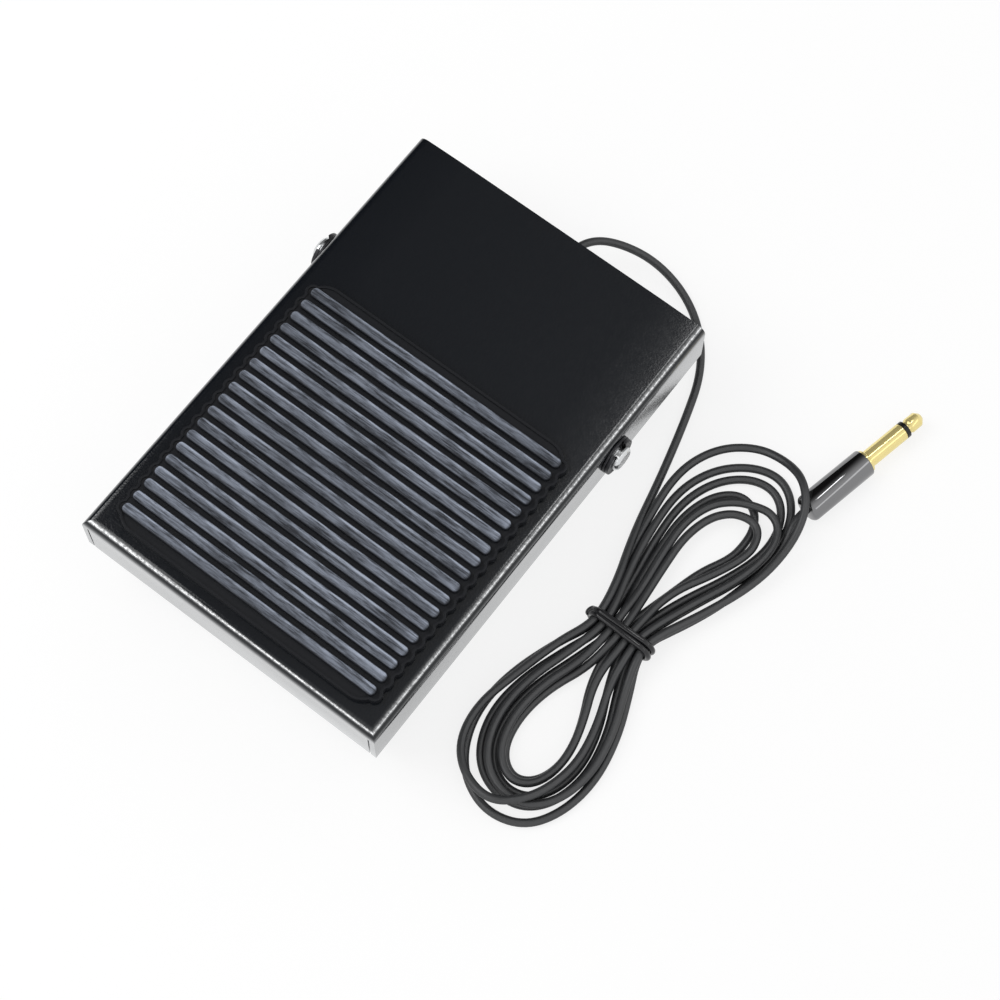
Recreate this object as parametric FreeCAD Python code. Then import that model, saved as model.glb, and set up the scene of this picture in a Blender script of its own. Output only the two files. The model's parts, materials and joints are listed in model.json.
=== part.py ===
import FreeCAD, Part
import math
import os

V = FreeCAD.Vector
X_AXIS = V(1, 0, 0)
Y_AXIS = V(0, 1, 0)
Z_AXIS = V(0, 0, 1)

# Foot pedal switch, in millimetres.
# X is the width, -Y is the toe end with the rubber pad, +Y is the cord end, Z is up.
# The origin is on the floor, under the middle of the pedal.

# Treadle cover: a folded sheet with a front lip and two side lips
cover_width = 66.4
cover_length = 98.0
cover_top = 24.0
cover_sheet = 1.2
bend_radius = 2.0
lip_depth = 11.0
corner_slit = 0.3

# Rubber pad on the front of the cover
pad_width = 59.4
pad_front_margin = 3.5
pad_end_margin = 3.1
pad_corner = 4.5
pad_base = 1.0
rib_pitch = 2.95
rib_count = 19
rib_width = 2.0
rib_height = 1.0
rib_side_margin = 1.3
rib_round = 0.9
scallop_depth = 0.5
scallop_round = 1.4
pad_rim = 0.5
pad_rim_height = 0.3

# Pivot: a plain shaft through both side lips, held by a washer and a clip at each end
pivot_from_front = 70.0
pivot_below_top = 5.6
shaft_diameter = 5.0
shaft_overhang = 2.3
shaft_chamfer = 0.4
groove_diameter = 4.0
washer_diameter = 7.8
washer_thickness = 0.5
clip_diameter = 7.6
clip_thickness = 0.7
clip_mouth = 3.4
clip_relief = 1.3
clip_relief_reach = 1.7
side_play = 0.05
shaft_fit = 0.03
press_angle = 3.5

# Base tray: a folded sheet with four walls, two pivot ears and a rear flange
side_gap = 0.6
front_gap = 1.0
rear_setback = 2.5
base_sheet = 1.2
base_bend = 1.5
foot_height = 4.0
stop_gap = 0.3
ear_gap = 0.3
flange_width = 44.0
flange_depth = 6.0
stop_pad_thickness = 0.9
stop_pad_depth = 4.0
stop_pad_inset = 4.0

# Nylon bushes in the pivot ears
bush_wall = 0.6
bush_flange = 0.5
bush_flange_diameter = 8.0
bush_proud = 0.2
seat_fit = 0.02

# Rubber feet pushed through the floor of the tray
foot_diameter = 9.0
foot_taper = 0.6
foot_inset = 8.0
foot_stem = 3.4
foot_barb = 5.0
foot_barb_height = 1.2
foot_fit = 0.1

# Return spring between a stud on the tray and a cup under the cover
spring_from_front = 15.0
spring_diameter = 8.6
spring_wire = 0.9
spring_turns = 6
stud_diameter = 6.0
stud_height = 5.0
stud_chamfer = 0.8
stud_flange = 10.0
stud_flange_thickness = 1.0
cup_diameter = 11.4
cup_wall = 0.9
cup_depth = 2.5
spring_end_gap = 0.2

# Snap switch, its lever and its button
case_length = 19.8
case_width = 6.4
case_height = 10.2
case_from_pivot = 33.0
case_clear_floor = 1.2
lid_thickness = 1.0
case_hole = 2.3
case_hole_spacing = 9.5
case_hole_up = 2.9
lever_hinge_inset = 2.3
lever_hinge_up = 0.7
lever_angle = 12.0
lever_length = 17.0
lever_width = 3.6
lever_thickness = 0.4
lever_barrel = 1.2
lever_pin = 0.8
lever_pin_fit = 0.05
lug_thickness = 0.6
lug_length = 2.0
lug_over_pin = 0.6
button_diameter = 1.5
button_round = 0.3
button_fit = 0.05
button_from_hinge = 3.2
button_length = 2.6
button_travel = 0.6
button_gap = 0.05
striker_from_hinge = 13.6
striker_diameter = 4.0
striker_round = 0.5
striker_gap = 0.2
terminal_width = 2.6
terminal_thickness = 0.5
terminal_length = 5.4
terminal_up = 0.6
terminal_spacing = 8.2

# Bracket, screws and nuts that hold the switch
bracket_sheet = 1.0
bracket_height = 8.0
bracket_foot = 9.0
small_screw = 2.0
small_head = 3.8
small_head_height = 1.3
small_nut = 4.0
small_nut_height = 1.6
screw = 3.0
screw_head = 5.5
screw_head_height = 1.8
screw_fit = 0.2
nut = 5.5
nut_height = 2.2
thread_past_nut = 0.6
head_round = 0.5
socket_depth = 0.6
socket_diameter = 1.8

# Cord entry and the clamp inside
cord_diameter = 1.6
entry_height = 9.4
entry_neck = 5.0
entry_flange = 7.0
entry_flange_thickness = 1.2
entry_taper = 1.2
entry_nose = 3.6
entry_fit = 0.05
clamp_to_bushing = 1.1
clamp_length = 5.0
clamp_width = 5.0
clamp_foot = 7.0
clamp_round = 2.0
clamp_sheet = 1.6
wire_diameter = 1.0
wire_straight = 4.0
outer_wire_reach = 13.2
inner_wire_reach = 10.4
jacket_past_clamp = 2.0
cord_off_floor = 0.05

# Hank of cord beside the pedal
hank_x = 52.6
hank_y = -1.4
hank_turns = 6.5
hank_front_reach = 42.8
hank_rear_reach = 46.0
hank_front_step = 3.0
hank_rear_step = 3.9
waist_step = 2.2
front_lobe_width = 13.2
rear_lobe_width = 12.4
lobe_step = 1.15
lobe_roundness = 0.4
roundness_step = 0.05
hank_lean = 0.039
hank_bow = 0.0007
layer_step = 2.1
climb_turns = 0.5
hank_spans = 12

# Tie round the waist of the hank
tie_thickness = 1.2
tie_length = 3.0
tie_gap = 0.3

# Plug
barrel_diameter = 5.6
barrel_length = 15.0
barrel_edge = 0.5
barrel_front_edge = 0.2
collar_diameter = 4.7
collar_length = 0.6
contact_diameter = 3.5
contact_length = 14.0
insulator_from_collar = 9.2
insulator_length = 0.9
tip_neck = 2.6
tip_neck_length = 0.8
tip_neck_slope = 0.3
tip_step = 0.1
tip_chamfer = 1.1
plug_x = 65.4
plug_y = 39.2
plug_heading = 12.4

# How far a cut runs past the face that it opens
past = 1.0

# Places worked out from the sizes above
half_width = cover_width / 2
front = -cover_length / 2
rear = cover_length / 2
cover_under = cover_top - cover_sheet
lip_bottom = cover_top - lip_depth
pivot_y = front + pivot_from_front
pivot_z = cover_top - pivot_below_top
shaft_radius = shaft_diameter / 2
shaft_end = half_width + shaft_overhang
base_half = half_width - cover_sheet - side_gap
base_front = front + cover_sheet + front_gap
base_rear = rear - rear_setback
floor_top = foot_height + base_sheet
press = math.radians(press_angle)
front_drop = (pivot_y - base_front) * math.sin(press)
wall_top = cover_under - front_drop - stop_gap
ear_radius = cover_under - pivot_z - ear_gap
flange_top = cover_under - stop_gap - stop_pad_thickness
spring_y = front + spring_from_front
case_y = pivot_y - case_from_pivot
bushing_inside = base_rear - base_sheet - entry_flange_thickness
clamp_y = bushing_inside - clamp_to_bushing - clamp_length
jacket_end = clamp_y - jacket_past_clamp
cord_radius = cord_diameter / 2
case_bottom = floor_top + case_clear_floor
case_top = case_bottom + case_height
case_rear = case_y + case_length / 2
hinge_y = case_rear - lever_hinge_inset
hinge_z = case_top + lever_hinge_up
striker_y = hinge_y - striker_from_hinge
lever_rise = math.tan(math.radians(lever_angle))
lever_half = lever_thickness / 2 / math.cos(math.radians(lever_angle))
striker_reach = striker_from_hinge + striker_diameter / 2 - striker_round
striker_bottom = hinge_z + striker_reach * lever_rise + lever_half + striker_gap
button_y = hinge_y - button_from_hinge
button_reach = button_from_hinge - button_diameter / 2 + button_round
button_top = hinge_z + button_reach * lever_rise - lever_half - button_gap
cord_floor = cord_radius + cord_off_floor


def box(x0, x1, y0, y1, z0, z1):
    """A block between two corners."""
    return Part.makeBox(x1 - x0, y1 - y0, z1 - z0, V(x0, y0, z0))


def rod(radius, start, end):
    """A round rod from one point to another."""
    return Part.makeCylinder(radius, (end - start).Length, start, end - start)


def hexagon(across_flats, start, direction, height):
    """A hexagonal prism for a nut, with its base centred on start."""
    corner_radius = across_flats / 2 / math.cos(math.pi / 6)
    side = V(direction.y, direction.z, direction.x)
    other = direction.cross(side)
    corners = []
    for step in range(7):
        angle = step * math.pi / 3
        reach = side * math.cos(angle) + other * math.sin(angle)
        corners.append(start + reach * corner_radius)
    return Part.Face(Part.makePolygon(corners)).extrude(direction * height)


def rounded_plate(x_half, y0, y1, corner, z0, z1):
    """A flat plate with rounded corners."""
    plate = box(-x_half, x_half, y0, y1, z0, z1)
    uprights = [e for e in plate.Edges if abs(e.tangentAt(e.FirstParameter).z) > 0.5]
    return plate.makeFillet(corner, uprights)


def turned(profile, start, direction):
    """A solid of revolution: profile is a list of (distance along, radius)."""
    side = V(direction.y, direction.z, direction.x)
    side = (side - direction * side.dot(direction)).normalize()
    points = [start + direction * along + side * radius for along, radius in profile]
    points.append(points[0])
    return Part.Face(Part.makePolygon(points)).revolve(start, direction, 360)


def mirrored(shape):
    """The same shape on the other side of the pedal."""
    return shape.mirror(V(0, 0, 0), X_AXIS)


def edges_at(shape, test):
    """The straight edges whose middle point passes a test."""
    chosen = []
    for edge in shape.Edges:
        if test(edge.CenterOfMass):
            chosen.append(edge)
    return chosen


def near(a, b):
    """True when two numbers are the same place."""
    return abs(a - b) < 1e-6


def arc_between(start, corner, end):
    """The arc from start to end whose tangents meet at corner."""
    middle = (start + end) * 0.5
    rise = (corner - middle).Length
    half = (end - start).Length / 2
    if rise < half * 1e-4:
        return Part.LineSegment(start, end).toShape()
    angle = math.atan2(rise, half)
    sagitta = half * math.tan(angle / 2)
    crest = middle + (corner - middle) * (sagitta / rise)
    return Part.Arc(start, crest, end).toShape()


def biarc(start, start_way, end, end_way):
    """Two arcs that join two points and keep the direction at each."""
    gap = end - start
    ways = start_way + end_way
    bend = 2 * (1 - start_way.dot(end_way))
    if bend < 1e-9:
        reach = gap.dot(gap) / (4 * gap.dot(start_way))
    else:
        along = gap.dot(ways)
        reach = (math.sqrt(along * along + bend * gap.dot(gap)) - along) / bend
    first = start + start_way * reach
    second = end - end_way * reach
    joint = (first + second) * 0.5
    return [arc_between(start, first, joint), arc_between(joint, second, end)]


def tube_along(edges, diameter, start, way):
    """A round tube along tangent edges, and how well its volume agrees."""
    path = Part.Wire(edges)
    section = Part.Wire(Part.makeCircle(diameter / 2, start, way))
    sweep = Part.BRepOffsetAPI.MakePipeShell(path)
    sweep.add(section)
    sweep.build()
    sweep.makeSolid()
    solid = sweep.shape()
    ideal = path.Length * math.pi * diameter ** 2 / 4
    return solid, path.Length, solid.Volume / ideal


def route_tube(points, diameter, name):
    """A tube of straight runs joined by arcs, each as large as its runs allow."""
    edges = []
    radii = []
    here = points[0]
    for index in range(1, len(points) - 1):
        before, corner, after = points[index - 1:index + 2]
        way_in = (corner - before).normalize()
        way_out = (after - corner).normalize()
        reach = 0.45 * min((corner - before).Length, (after - corner).Length)
        turn = way_in.getAngle(way_out)
        radii.append(reach / math.tan(turn / 2))
        start = corner - way_in * reach
        end = corner + way_out * reach
        edges.append(Part.LineSegment(here, start).toShape())
        edges.append(arc_between(start, corner, end))
        here = end
    edges.append(Part.LineSegment(here, points[-1]).toShape())
    solid, length, agreement = tube_along(edges, diameter, points[0], points[1] - points[0])
    shown = " ".join("%.1f" % radius for radius in radii)
    print("%s: length %.1f, radii %s, volume agreement %.4f" % (name, length, shown, agreement))
    return solid


def save(name, *solids):
    """Writes one sub-part, as one solid or as a group of separate ones."""
    shape = solids[0] if len(solids) == 1 else Part.makeCompound(list(solids))
    shape.exportStep("parts/%s.step" % name)


def treadle_cover():
    """The folded cover: top sheet, front lip and side lips, with a slit at each front corner."""
    outer = box(-half_width, half_width, front, rear, lip_bottom, cover_top)
    on_top = edges_at(outer, lambda c: near(c.z, cover_top) and not near(c.y, rear))
    outer = outer.makeFillet(bend_radius, on_top)
    inner_half = half_width - cover_sheet
    inner = box(-inner_half, inner_half, front + cover_sheet, rear + past, lip_bottom - past, cover_under)
    under = edges_at(inner, lambda c: near(c.z, cover_under) and not near(c.y, rear + past))
    inner = inner.makeFillet(bend_radius - cover_sheet, under)
    shape = outer.cut(inner)
    slit_top = cover_top - bend_radius
    slit = box(inner_half - corner_slit, inner_half, front - past, front + cover_sheet,
               lip_bottom - past, slit_top)
    hole_radius = shaft_radius + shaft_fit
    hole = rod(hole_radius, V(-half_width - past, pivot_y, pivot_z), V(half_width + past, pivot_y, pivot_z))
    return shape.cut([slit, mirrored(slit), hole])


def rib_places():
    """The middle of each rib, from the toe end."""
    return [front + pad_front_margin + pad_end_margin + index * rib_pitch for index in range(rib_count)]


def pad_sheet(inset, z0, z1):
    """The pad's outline, drawn in by an inset: a rounded plate whose sides bulge at each rib."""
    places = rib_places()
    half = pad_width / 2 - inset
    reach = pad_end_margin - inset
    plate = rounded_plate(half - scallop_depth, places[0] - reach, places[-1] + reach,
                          pad_corner - inset, z0, z1)
    bulge = rib_pitch / 2 - inset
    bulges = []
    for y in places:
        bulges.append(rounded_plate(half, y - bulge, y + bulge, scallop_round - inset, z0, z1))
    return plate.fuse(bulges).removeSplitter()


def rubber_pad():
    """The ribbed pad: a thin scalloped sheet with a low rim and round-ended ribs across it."""
    sheet_top = cover_top + pad_base
    rim_top = sheet_top + pad_rim_height
    pad = pad_sheet(0, cover_top, rim_top).cut(pad_sheet(pad_rim, sheet_top, rim_top + past))
    ribs = []
    reach = pad_width / 2 - rib_side_margin
    for y in rib_places():
        ribs.append(rounded_plate(reach, y - rib_width / 2, y + rib_width / 2, rib_round,
                                  sheet_top, sheet_top + rib_height))
    return pad.fuse(ribs).removeSplitter()


def pivot_shaft():
    """The shaft, with a groove for a clip near each end."""
    start = V(-shaft_end, pivot_y, pivot_z)
    end = V(shaft_end, pivot_y, pivot_z)
    shaft = rod(shaft_radius, start, end)
    rims = [e for e in shaft.Edges if near(abs(e.CenterOfMass.x), shaft_end)]
    shaft = shaft.makeChamfer(shaft_chamfer, rims)
    inside = half_width + side_play + washer_thickness
    width = clip_thickness + 2 * side_play
    ring = rod(shaft_radius + past, V(inside, pivot_y, pivot_z), V(inside + width, pivot_y, pivot_z))
    neck = rod(groove_diameter / 2, V(inside - past, pivot_y, pivot_z),
               V(inside + width + past, pivot_y, pivot_z))
    groove = ring.cut(neck)
    return shaft.cut([groove, mirrored(groove)])


def shaft_washer():
    """A thin black washer between the side lip and the clip."""
    start = V(half_width + side_play, pivot_y, pivot_z)
    end = start + X_AXIS * washer_thickness
    hole = rod(shaft_radius + shaft_fit, start - X_AXIS, end + X_AXIS)
    return rod(washer_diameter / 2, start, end).cut(hole)


def shaft_clip():
    """A flat retaining clip, open at the top, in the groove of the shaft."""
    start = V(half_width + 2 * side_play + washer_thickness, pivot_y, pivot_z)
    end = start + X_AXIS * clip_thickness
    plate = rod(clip_diameter / 2, start, end)
    bore = rod(groove_diameter / 2 + shaft_fit, start - X_AXIS, end + X_AXIS)
    mouth = box(start.x - past, end.x + past, pivot_y - clip_mouth / 2, pivot_y + clip_mouth / 2,
                pivot_z, pivot_z + clip_diameter)
    cuts = [bore, mouth]
    for side in (-1, 1):
        offset = V(0, side * clip_relief_reach, -clip_relief_reach)
        cuts.append(rod(clip_relief / 2, start + offset - X_AXIS, end + offset + X_AXIS))
    return plate.cut(cuts)


def foot_places():
    """The middle of each rubber foot, on the floor."""
    places = []
    for x in (-base_half + foot_inset, base_half - foot_inset):
        for y in (base_front + foot_inset, base_rear - foot_inset):
            places.append(V(x, y, 0))
    return places


def bracket_screw_places():
    """The two places where the switch bracket is screwed down."""
    x = -case_width / 2 - bracket_sheet - bracket_foot / 2
    return [V(x, case_y - case_length / 4, 0), V(x, case_y + case_length / 4, 0)]


def clamp_screw_place():
    """The place where the cord clamp is screwed down."""
    return V(clamp_width / 2 + clamp_foot / 2, clamp_y + clamp_length / 2, 0)


def base_tray():
    """The tray: floor, walls, pivot ears and the rear flange that carries the stop pad."""
    outer = box(-base_half, base_half, base_front, base_rear, foot_height, wall_top)
    around = edges_at(outer, lambda c: near(c.z, foot_height))
    outer = outer.makeFillet(base_bend, around)
    inner = box(-base_half + base_sheet, base_half - base_sheet, base_front + base_sheet,
                base_rear - base_sheet, floor_top, wall_top + past)
    tray = outer.cut(inner)
    ear_x = base_half - base_sheet
    ear = box(ear_x, base_half, pivot_y - ear_radius, pivot_y + ear_radius, wall_top - past, pivot_z)
    ear_round = rod(ear_radius, V(ear_x, pivot_y, pivot_z), V(base_half, pivot_y, pivot_z))
    raised = box(-flange_width / 2, flange_width / 2, base_rear - base_sheet, base_rear,
                 wall_top - past, flange_top)
    flange = box(-flange_width / 2, flange_width / 2, base_rear - flange_depth, base_rear,
                 flange_top - base_sheet, flange_top)
    tray = tray.fuse([ear, ear_round, mirrored(ear), mirrored(ear_round), raised, flange])
    bush_radius = shaft_radius + shaft_fit + bush_wall + seat_fit
    holes = [rod(bush_radius, V(-half_width, pivot_y, pivot_z), V(half_width, pivot_y, pivot_z))]
    entry_radius = entry_neck / 2 + entry_fit
    holes.append(rod(entry_radius, V(0, base_rear - base_sheet - past, entry_height),
                     V(0, base_rear + past, entry_height)))
    for place in foot_places():
        holes.append(rod(foot_stem / 2 + foot_fit, place, place + Z_AXIS * (floor_top + past)))
    for place in bracket_screw_places() + [clamp_screw_place()]:
        holes.append(rod(screw / 2 + screw_fit, place, place + Z_AXIS * (floor_top + past)))
    return tray.removeSplitter().cut(holes)


def pivot_bush():
    """A flanged nylon bush, pushed into the pivot ear from inside."""
    bore = shaft_radius + shaft_fit
    inside = base_half - base_sheet - bush_flange
    return turned([(0, bore), (0, bush_flange_diameter / 2), (bush_flange, bush_flange_diameter / 2),
                   (bush_flange, bore + bush_wall),
                   (bush_flange + base_sheet + bush_proud, bore + bush_wall),
                   (bush_flange + base_sheet + bush_proud, bore)],
                  V(inside, pivot_y, pivot_z), X_AXIS)


def rubber_foot(place):
    """A rubber foot with a barbed stem through the floor of the tray."""
    barb_base = floor_top + foot_fit
    return turned([(0, 0), (0, foot_diameter / 2 - foot_taper), (foot_height, foot_diameter / 2),
                   (foot_height, foot_stem / 2), (barb_base, foot_stem / 2),
                   (barb_base, foot_barb / 2), (barb_base + foot_barb_height, foot_stem / 2),
                   (barb_base + foot_barb_height, 0)], place, Z_AXIS)


def stop_pad():
    """The strip of rubber on the rear flange that the cover rests against."""
    y1 = base_rear - (flange_depth - stop_pad_depth) / 2
    half = flange_width / 2 - stop_pad_inset
    return box(-half, half, y1 - stop_pad_depth, y1, flange_top, flange_top + stop_pad_thickness)


def spring_stud():
    """The stud on the floor of the tray that centres the spring."""
    return turned([(0, 0), (0, stud_flange / 2), (stud_flange_thickness, stud_flange / 2),
                   (stud_flange_thickness, stud_diameter / 2),
                   (stud_height - stud_chamfer, stud_diameter / 2),
                   (stud_height, stud_diameter / 2 - stud_chamfer),
                   (stud_height, 0)], V(0, spring_y, floor_top), Z_AXIS)


def spring_cup():
    """The shallow cup under the cover that holds the top of the spring."""
    inner = cup_diameter / 2 - cup_wall
    return turned([(0, 0), (0, cup_diameter / 2), (cup_depth, cup_diameter / 2),
                   (cup_depth, inner), (cup_wall, inner), (cup_wall, 0)],
                  V(0, spring_y, cover_under), V(0, 0, -1))


def return_spring():
    """The coil spring: a steady helix of round wire."""
    bottom = floor_top + stud_flange_thickness + spring_wire / 2
    top = cover_under - cup_wall - spring_end_gap - spring_wire / 2
    radius = (spring_diameter - spring_wire) / 2
    rise = (top - bottom) / (2 * math.pi * spring_turns)
    slope = math.hypot(radius, rise)

    def place(angle):
        return V(radius * math.cos(angle), spring_y + radius * math.sin(angle), bottom + rise * angle)

    def way(angle):
        return V(-radius * math.sin(angle), radius * math.cos(angle), rise) * (1 / slope)

    edges = []
    quarters = 4 * spring_turns
    for index in range(quarters):
        a = index * math.pi / 2
        b = a + math.pi / 2
        edges += biarc(place(a), way(a), place(b), way(b))
    solid, length, agreement = tube_along(edges, spring_wire, place(0), way(0))
    pitch_gap = (top - bottom) / spring_turns - spring_wire
    print("return_spring: wire %.1f long, gap between turns %.2f, volume agreement %.4f"
          % (length, pitch_gap, agreement))
    return solid


def striker():
    """The stud under the cover that presses the lever of the switch."""
    length = cover_under - striker_bottom
    radius = striker_diameter / 2
    return turned([(0, 0), (0, radius), (length - striker_round, radius),
                   (length, radius - striker_round), (length, 0)],
                  V(0, striker_y, cover_under), V(0, 0, -1))


def lever_lug(x0, x1, z0):
    """An upright lug beside the lever, with the hole for its pin."""
    lug_top = hinge_z + lever_pin / 2 + lug_over_pin
    lug = box(x0, x1, hinge_y - lug_length / 2, hinge_y + lug_length / 2, z0, lug_top)
    hole_radius = lever_pin / 2 + lever_pin_fit
    pin_hole = rod(hole_radius, V(-case_width, hinge_y, hinge_z), V(case_width, hinge_y, hinge_z))
    return lug.cut(pin_hole)


def switch_case():
    """The case of the snap switch, with a lug for the lever and a hole for the button."""
    half = case_width / 2
    body = box(-half, half - lid_thickness, case_y - case_length / 2, case_rear, case_bottom, case_top)
    body = body.fuse(lever_lug(-half, -half + lug_thickness, case_top)).removeSplitter()
    well_bottom = button_top - button_length - button_travel - button_gap
    well_radius = button_diameter / 2 + button_fit
    well = rod(well_radius, V(0, button_y, well_bottom), V(0, button_y, case_top + past))
    return body.cut([well] + case_holes())


def case_holes():
    """The two cross holes that the switch is screwed through."""
    z = case_bottom + case_hole_up
    holes = []
    for side in (-1, 1):
        y = case_y + side * case_hole_spacing / 2
        holes.append(rod(case_hole / 2, V(-case_width, y, z), V(case_width, y, z)))
    return holes


def switch_lid():
    """The flat lid of the switch, with the second lug for the lever on it."""
    half = case_width / 2
    lid = box(half - lid_thickness, half, case_y - case_length / 2, case_rear, case_bottom, case_top)
    lid = lid.fuse(lever_lug(half - lug_thickness, half, case_top)).removeSplitter()
    return lid.cut(case_holes())


def switch_button():
    """The small button on top of the switch."""
    top = V(0, button_y, button_top)
    button = rod(button_diameter / 2, top - Z_AXIS * button_length, top)
    rim = [e for e in button.Edges if near(e.CenterOfMass.z, button_top)]
    return button.makeFillet(button_round, rim)


def switch_lever():
    """The sheet lever, which rises from its hinge towards the toe end."""
    half = lever_width / 2
    strip = box(-half, half, hinge_y - lever_length, hinge_y, hinge_z - lever_thickness / 2,
                hinge_z + lever_thickness / 2)
    strip.rotate(V(0, hinge_y, hinge_z), X_AXIS, -lever_angle)
    inner = case_width / 2 - lug_thickness - 2 * side_play
    barrel = rod(lever_barrel / 2, V(-inner, hinge_y, hinge_z), V(inner, hinge_y, hinge_z))
    reach = case_width / 2 - side_play
    pin = rod(lever_pin / 2, V(-reach, hinge_y, hinge_z), V(reach, hinge_y, hinge_z))
    return strip.fuse([barrel, pin]).removeSplitter()


def switch_terminals():
    """Three flat terminals that leave the lid sideways."""
    x = case_width / 2
    z = case_bottom + terminal_up
    strips = []
    for step in (-1, 0, 1):
        y = case_y + step * terminal_spacing
        strips.append(box(x, x + terminal_length, y - terminal_width / 2, y + terminal_width / 2,
                          z, z + terminal_thickness))
    return strips


def switch_bracket():
    """The angle bracket: an upright against the case and a foot on the floor of the tray."""
    x = -case_width / 2
    y0 = case_y - case_length / 2
    upright = box(x - bracket_sheet, x, y0, case_rear, floor_top, floor_top + bracket_height)
    foot = box(x - bracket_sheet - bracket_foot, x, y0, case_rear, floor_top, floor_top + bracket_sheet)
    holes = case_holes()
    for place in bracket_screw_places():
        holes.append(rod(screw / 2 + screw_fit, place, place + Z_AXIS * (floor_top + bracket_sheet + past)))
    return upright.fuse(foot).removeSplitter().cut(holes)


def headed_screw(start, direction, length, diameter, head, head_height):
    """A round-headed screw: start is under the head, direction points along the thread."""
    back = direction * -1
    body = rod(diameter / 2, start, start + direction * length)
    cap = rod(head / 2, start, start + back * head_height)
    rim = [e for e in cap.Edges if (e.CenterOfMass - start).dot(back) > head_height - 1e-6]
    cap = cap.makeFillet(head_round, rim)
    top = start + back * head_height
    socket = rod(socket_diameter / 2, top, top + direction * socket_depth)
    return body.fuse(cap).removeSplitter().cut(socket)


def threaded_nut(across_flats, bore, start, direction, height):
    """A hexagonal nut round a screw."""
    hole = rod(bore / 2 + seat_fit, start - direction, start + direction * (height + past))
    return hexagon(across_flats, start, direction, height).cut(hole)


def switch_fasteners():
    """The two small screws through the switch and its bracket, and their nuts."""
    z = case_bottom + case_hole_up
    left = -case_width / 2 - bracket_sheet
    length = case_width + bracket_sheet + small_nut_height + thread_past_nut
    screws = []
    nuts = []
    for side in (-1, 1):
        y = case_y + side * case_hole_spacing / 2
        start = V(case_width / 2, y, z)
        screws.append(headed_screw(start, V(-1, 0, 0), length, small_screw, small_head, small_head_height))
        nuts.append(threaded_nut(small_nut, small_screw, V(left, y, z), V(-1, 0, 0), small_nut_height))
    return screws, nuts


def floor_fasteners(places, sheet):
    """Screws down through a foot of this thickness and the tray, with nuts below."""
    length = sheet + base_sheet + nut_height + thread_past_nut
    screws = []
    nuts = []
    for place in places:
        start = V(place.x, place.y, floor_top + sheet)
        down = V(0, 0, -1)
        screws.append(headed_screw(start, down, length, screw, screw_head, screw_head_height))
        below = V(place.x, place.y, foot_height)
        nuts.append(threaded_nut(nut, screw, below, down, nut_height))
    return screws, nuts


def cord_clamp():
    """The nylon clamp: a block round the cord with a foot that is screwed down."""
    half = clamp_width / 2
    y1 = clamp_y + clamp_length
    top = entry_height + half
    middle = clamp_y + clamp_length / 2
    block = box(-half, half, clamp_y, y1, floor_top, top)
    ridges = edges_at(block, lambda c: near(c.z, top) and near(c.y, middle))
    block = block.makeFillet(clamp_round, ridges)
    foot = box(0, half + clamp_foot, clamp_y, y1, floor_top, floor_top + clamp_sheet)
    bore = rod(cord_radius + entry_fit, V(0, clamp_y - past, entry_height), V(0, y1 + past, entry_height))
    place = clamp_screw_place()
    hole = rod(screw / 2 + screw_fit, place, place + Z_AXIS * (floor_top + clamp_sheet + past))
    return block.fuse(foot).removeSplitter().cut([bore, hole])


def cord_bushing():
    """The rubber bushing in the rear wall that the cord comes out of."""
    bore = cord_radius + entry_fit
    wide = entry_flange / 2
    neck = entry_neck / 2
    first = entry_flange_thickness
    second = first + base_sheet
    third = second + entry_flange_thickness
    start = V(0, bushing_inside, entry_height)
    return turned([(0, bore), (0, wide), (first, wide), (first, neck), (second, neck), (second, wide),
                   (third, wide), (third + entry_taper, entry_nose / 2), (third + entry_taper, bore)],
                  start, Y_AXIS)


bushing_face = base_rear + entry_flange_thickness + entry_taper


def cord_inner():
    """The jacketed cord inside the pedal, from the clamp to the face of the bushing."""
    return rod(cord_radius, V(0, jacket_end, entry_height), V(0, bushing_face, entry_height))


def wire_route(side, reach, end_y, shares):
    """The points of one core: each share is of its reach across and of its way to the terminal."""
    terminal_top = case_bottom + terminal_up + terminal_thickness
    wire_z = terminal_top + wire_diameter / 2 + seat_fit
    tip_x = case_width / 2 + terminal_length - wire_diameter
    start = V(side * (wire_diameter / 2 + seat_fit), jacket_end, entry_height)
    points = [start, start - Y_AXIS * wire_straight]
    for across, along in shares:
        y = jacket_end - along * (jacket_end - end_y)
        points.append(V(across * reach, y, wire_z))
    points.append(V(tip_x, end_y, wire_z))
    return points


def inner_wires():
    """The two insulated cores, from the end of the jacket to two of the terminals."""
    outer_shares = [(0.30, 0.18), (0.80, 0.32), (0.98, 0.50), (1.0, 0.71), (0.95, 0.89)]
    inner_shares = [(0.10, 0.23), (0.48, 0.40), (0.83, 0.60), (0.98, 0.75), (1.0, 0.90)]
    outer = wire_route(1, outer_wire_reach, case_y - terminal_spacing, outer_shares)
    inner = wire_route(-1, inner_wire_reach, case_y, inner_shares)
    return [route_tube(outer, wire_diameter, "inner_wires outer"),
            route_tube(inner, wire_diameter, "inner_wires inner")]


hank_waist = (hank_turns / 2) * waist_step
hank_lift = tie_thickness + tie_gap


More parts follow.
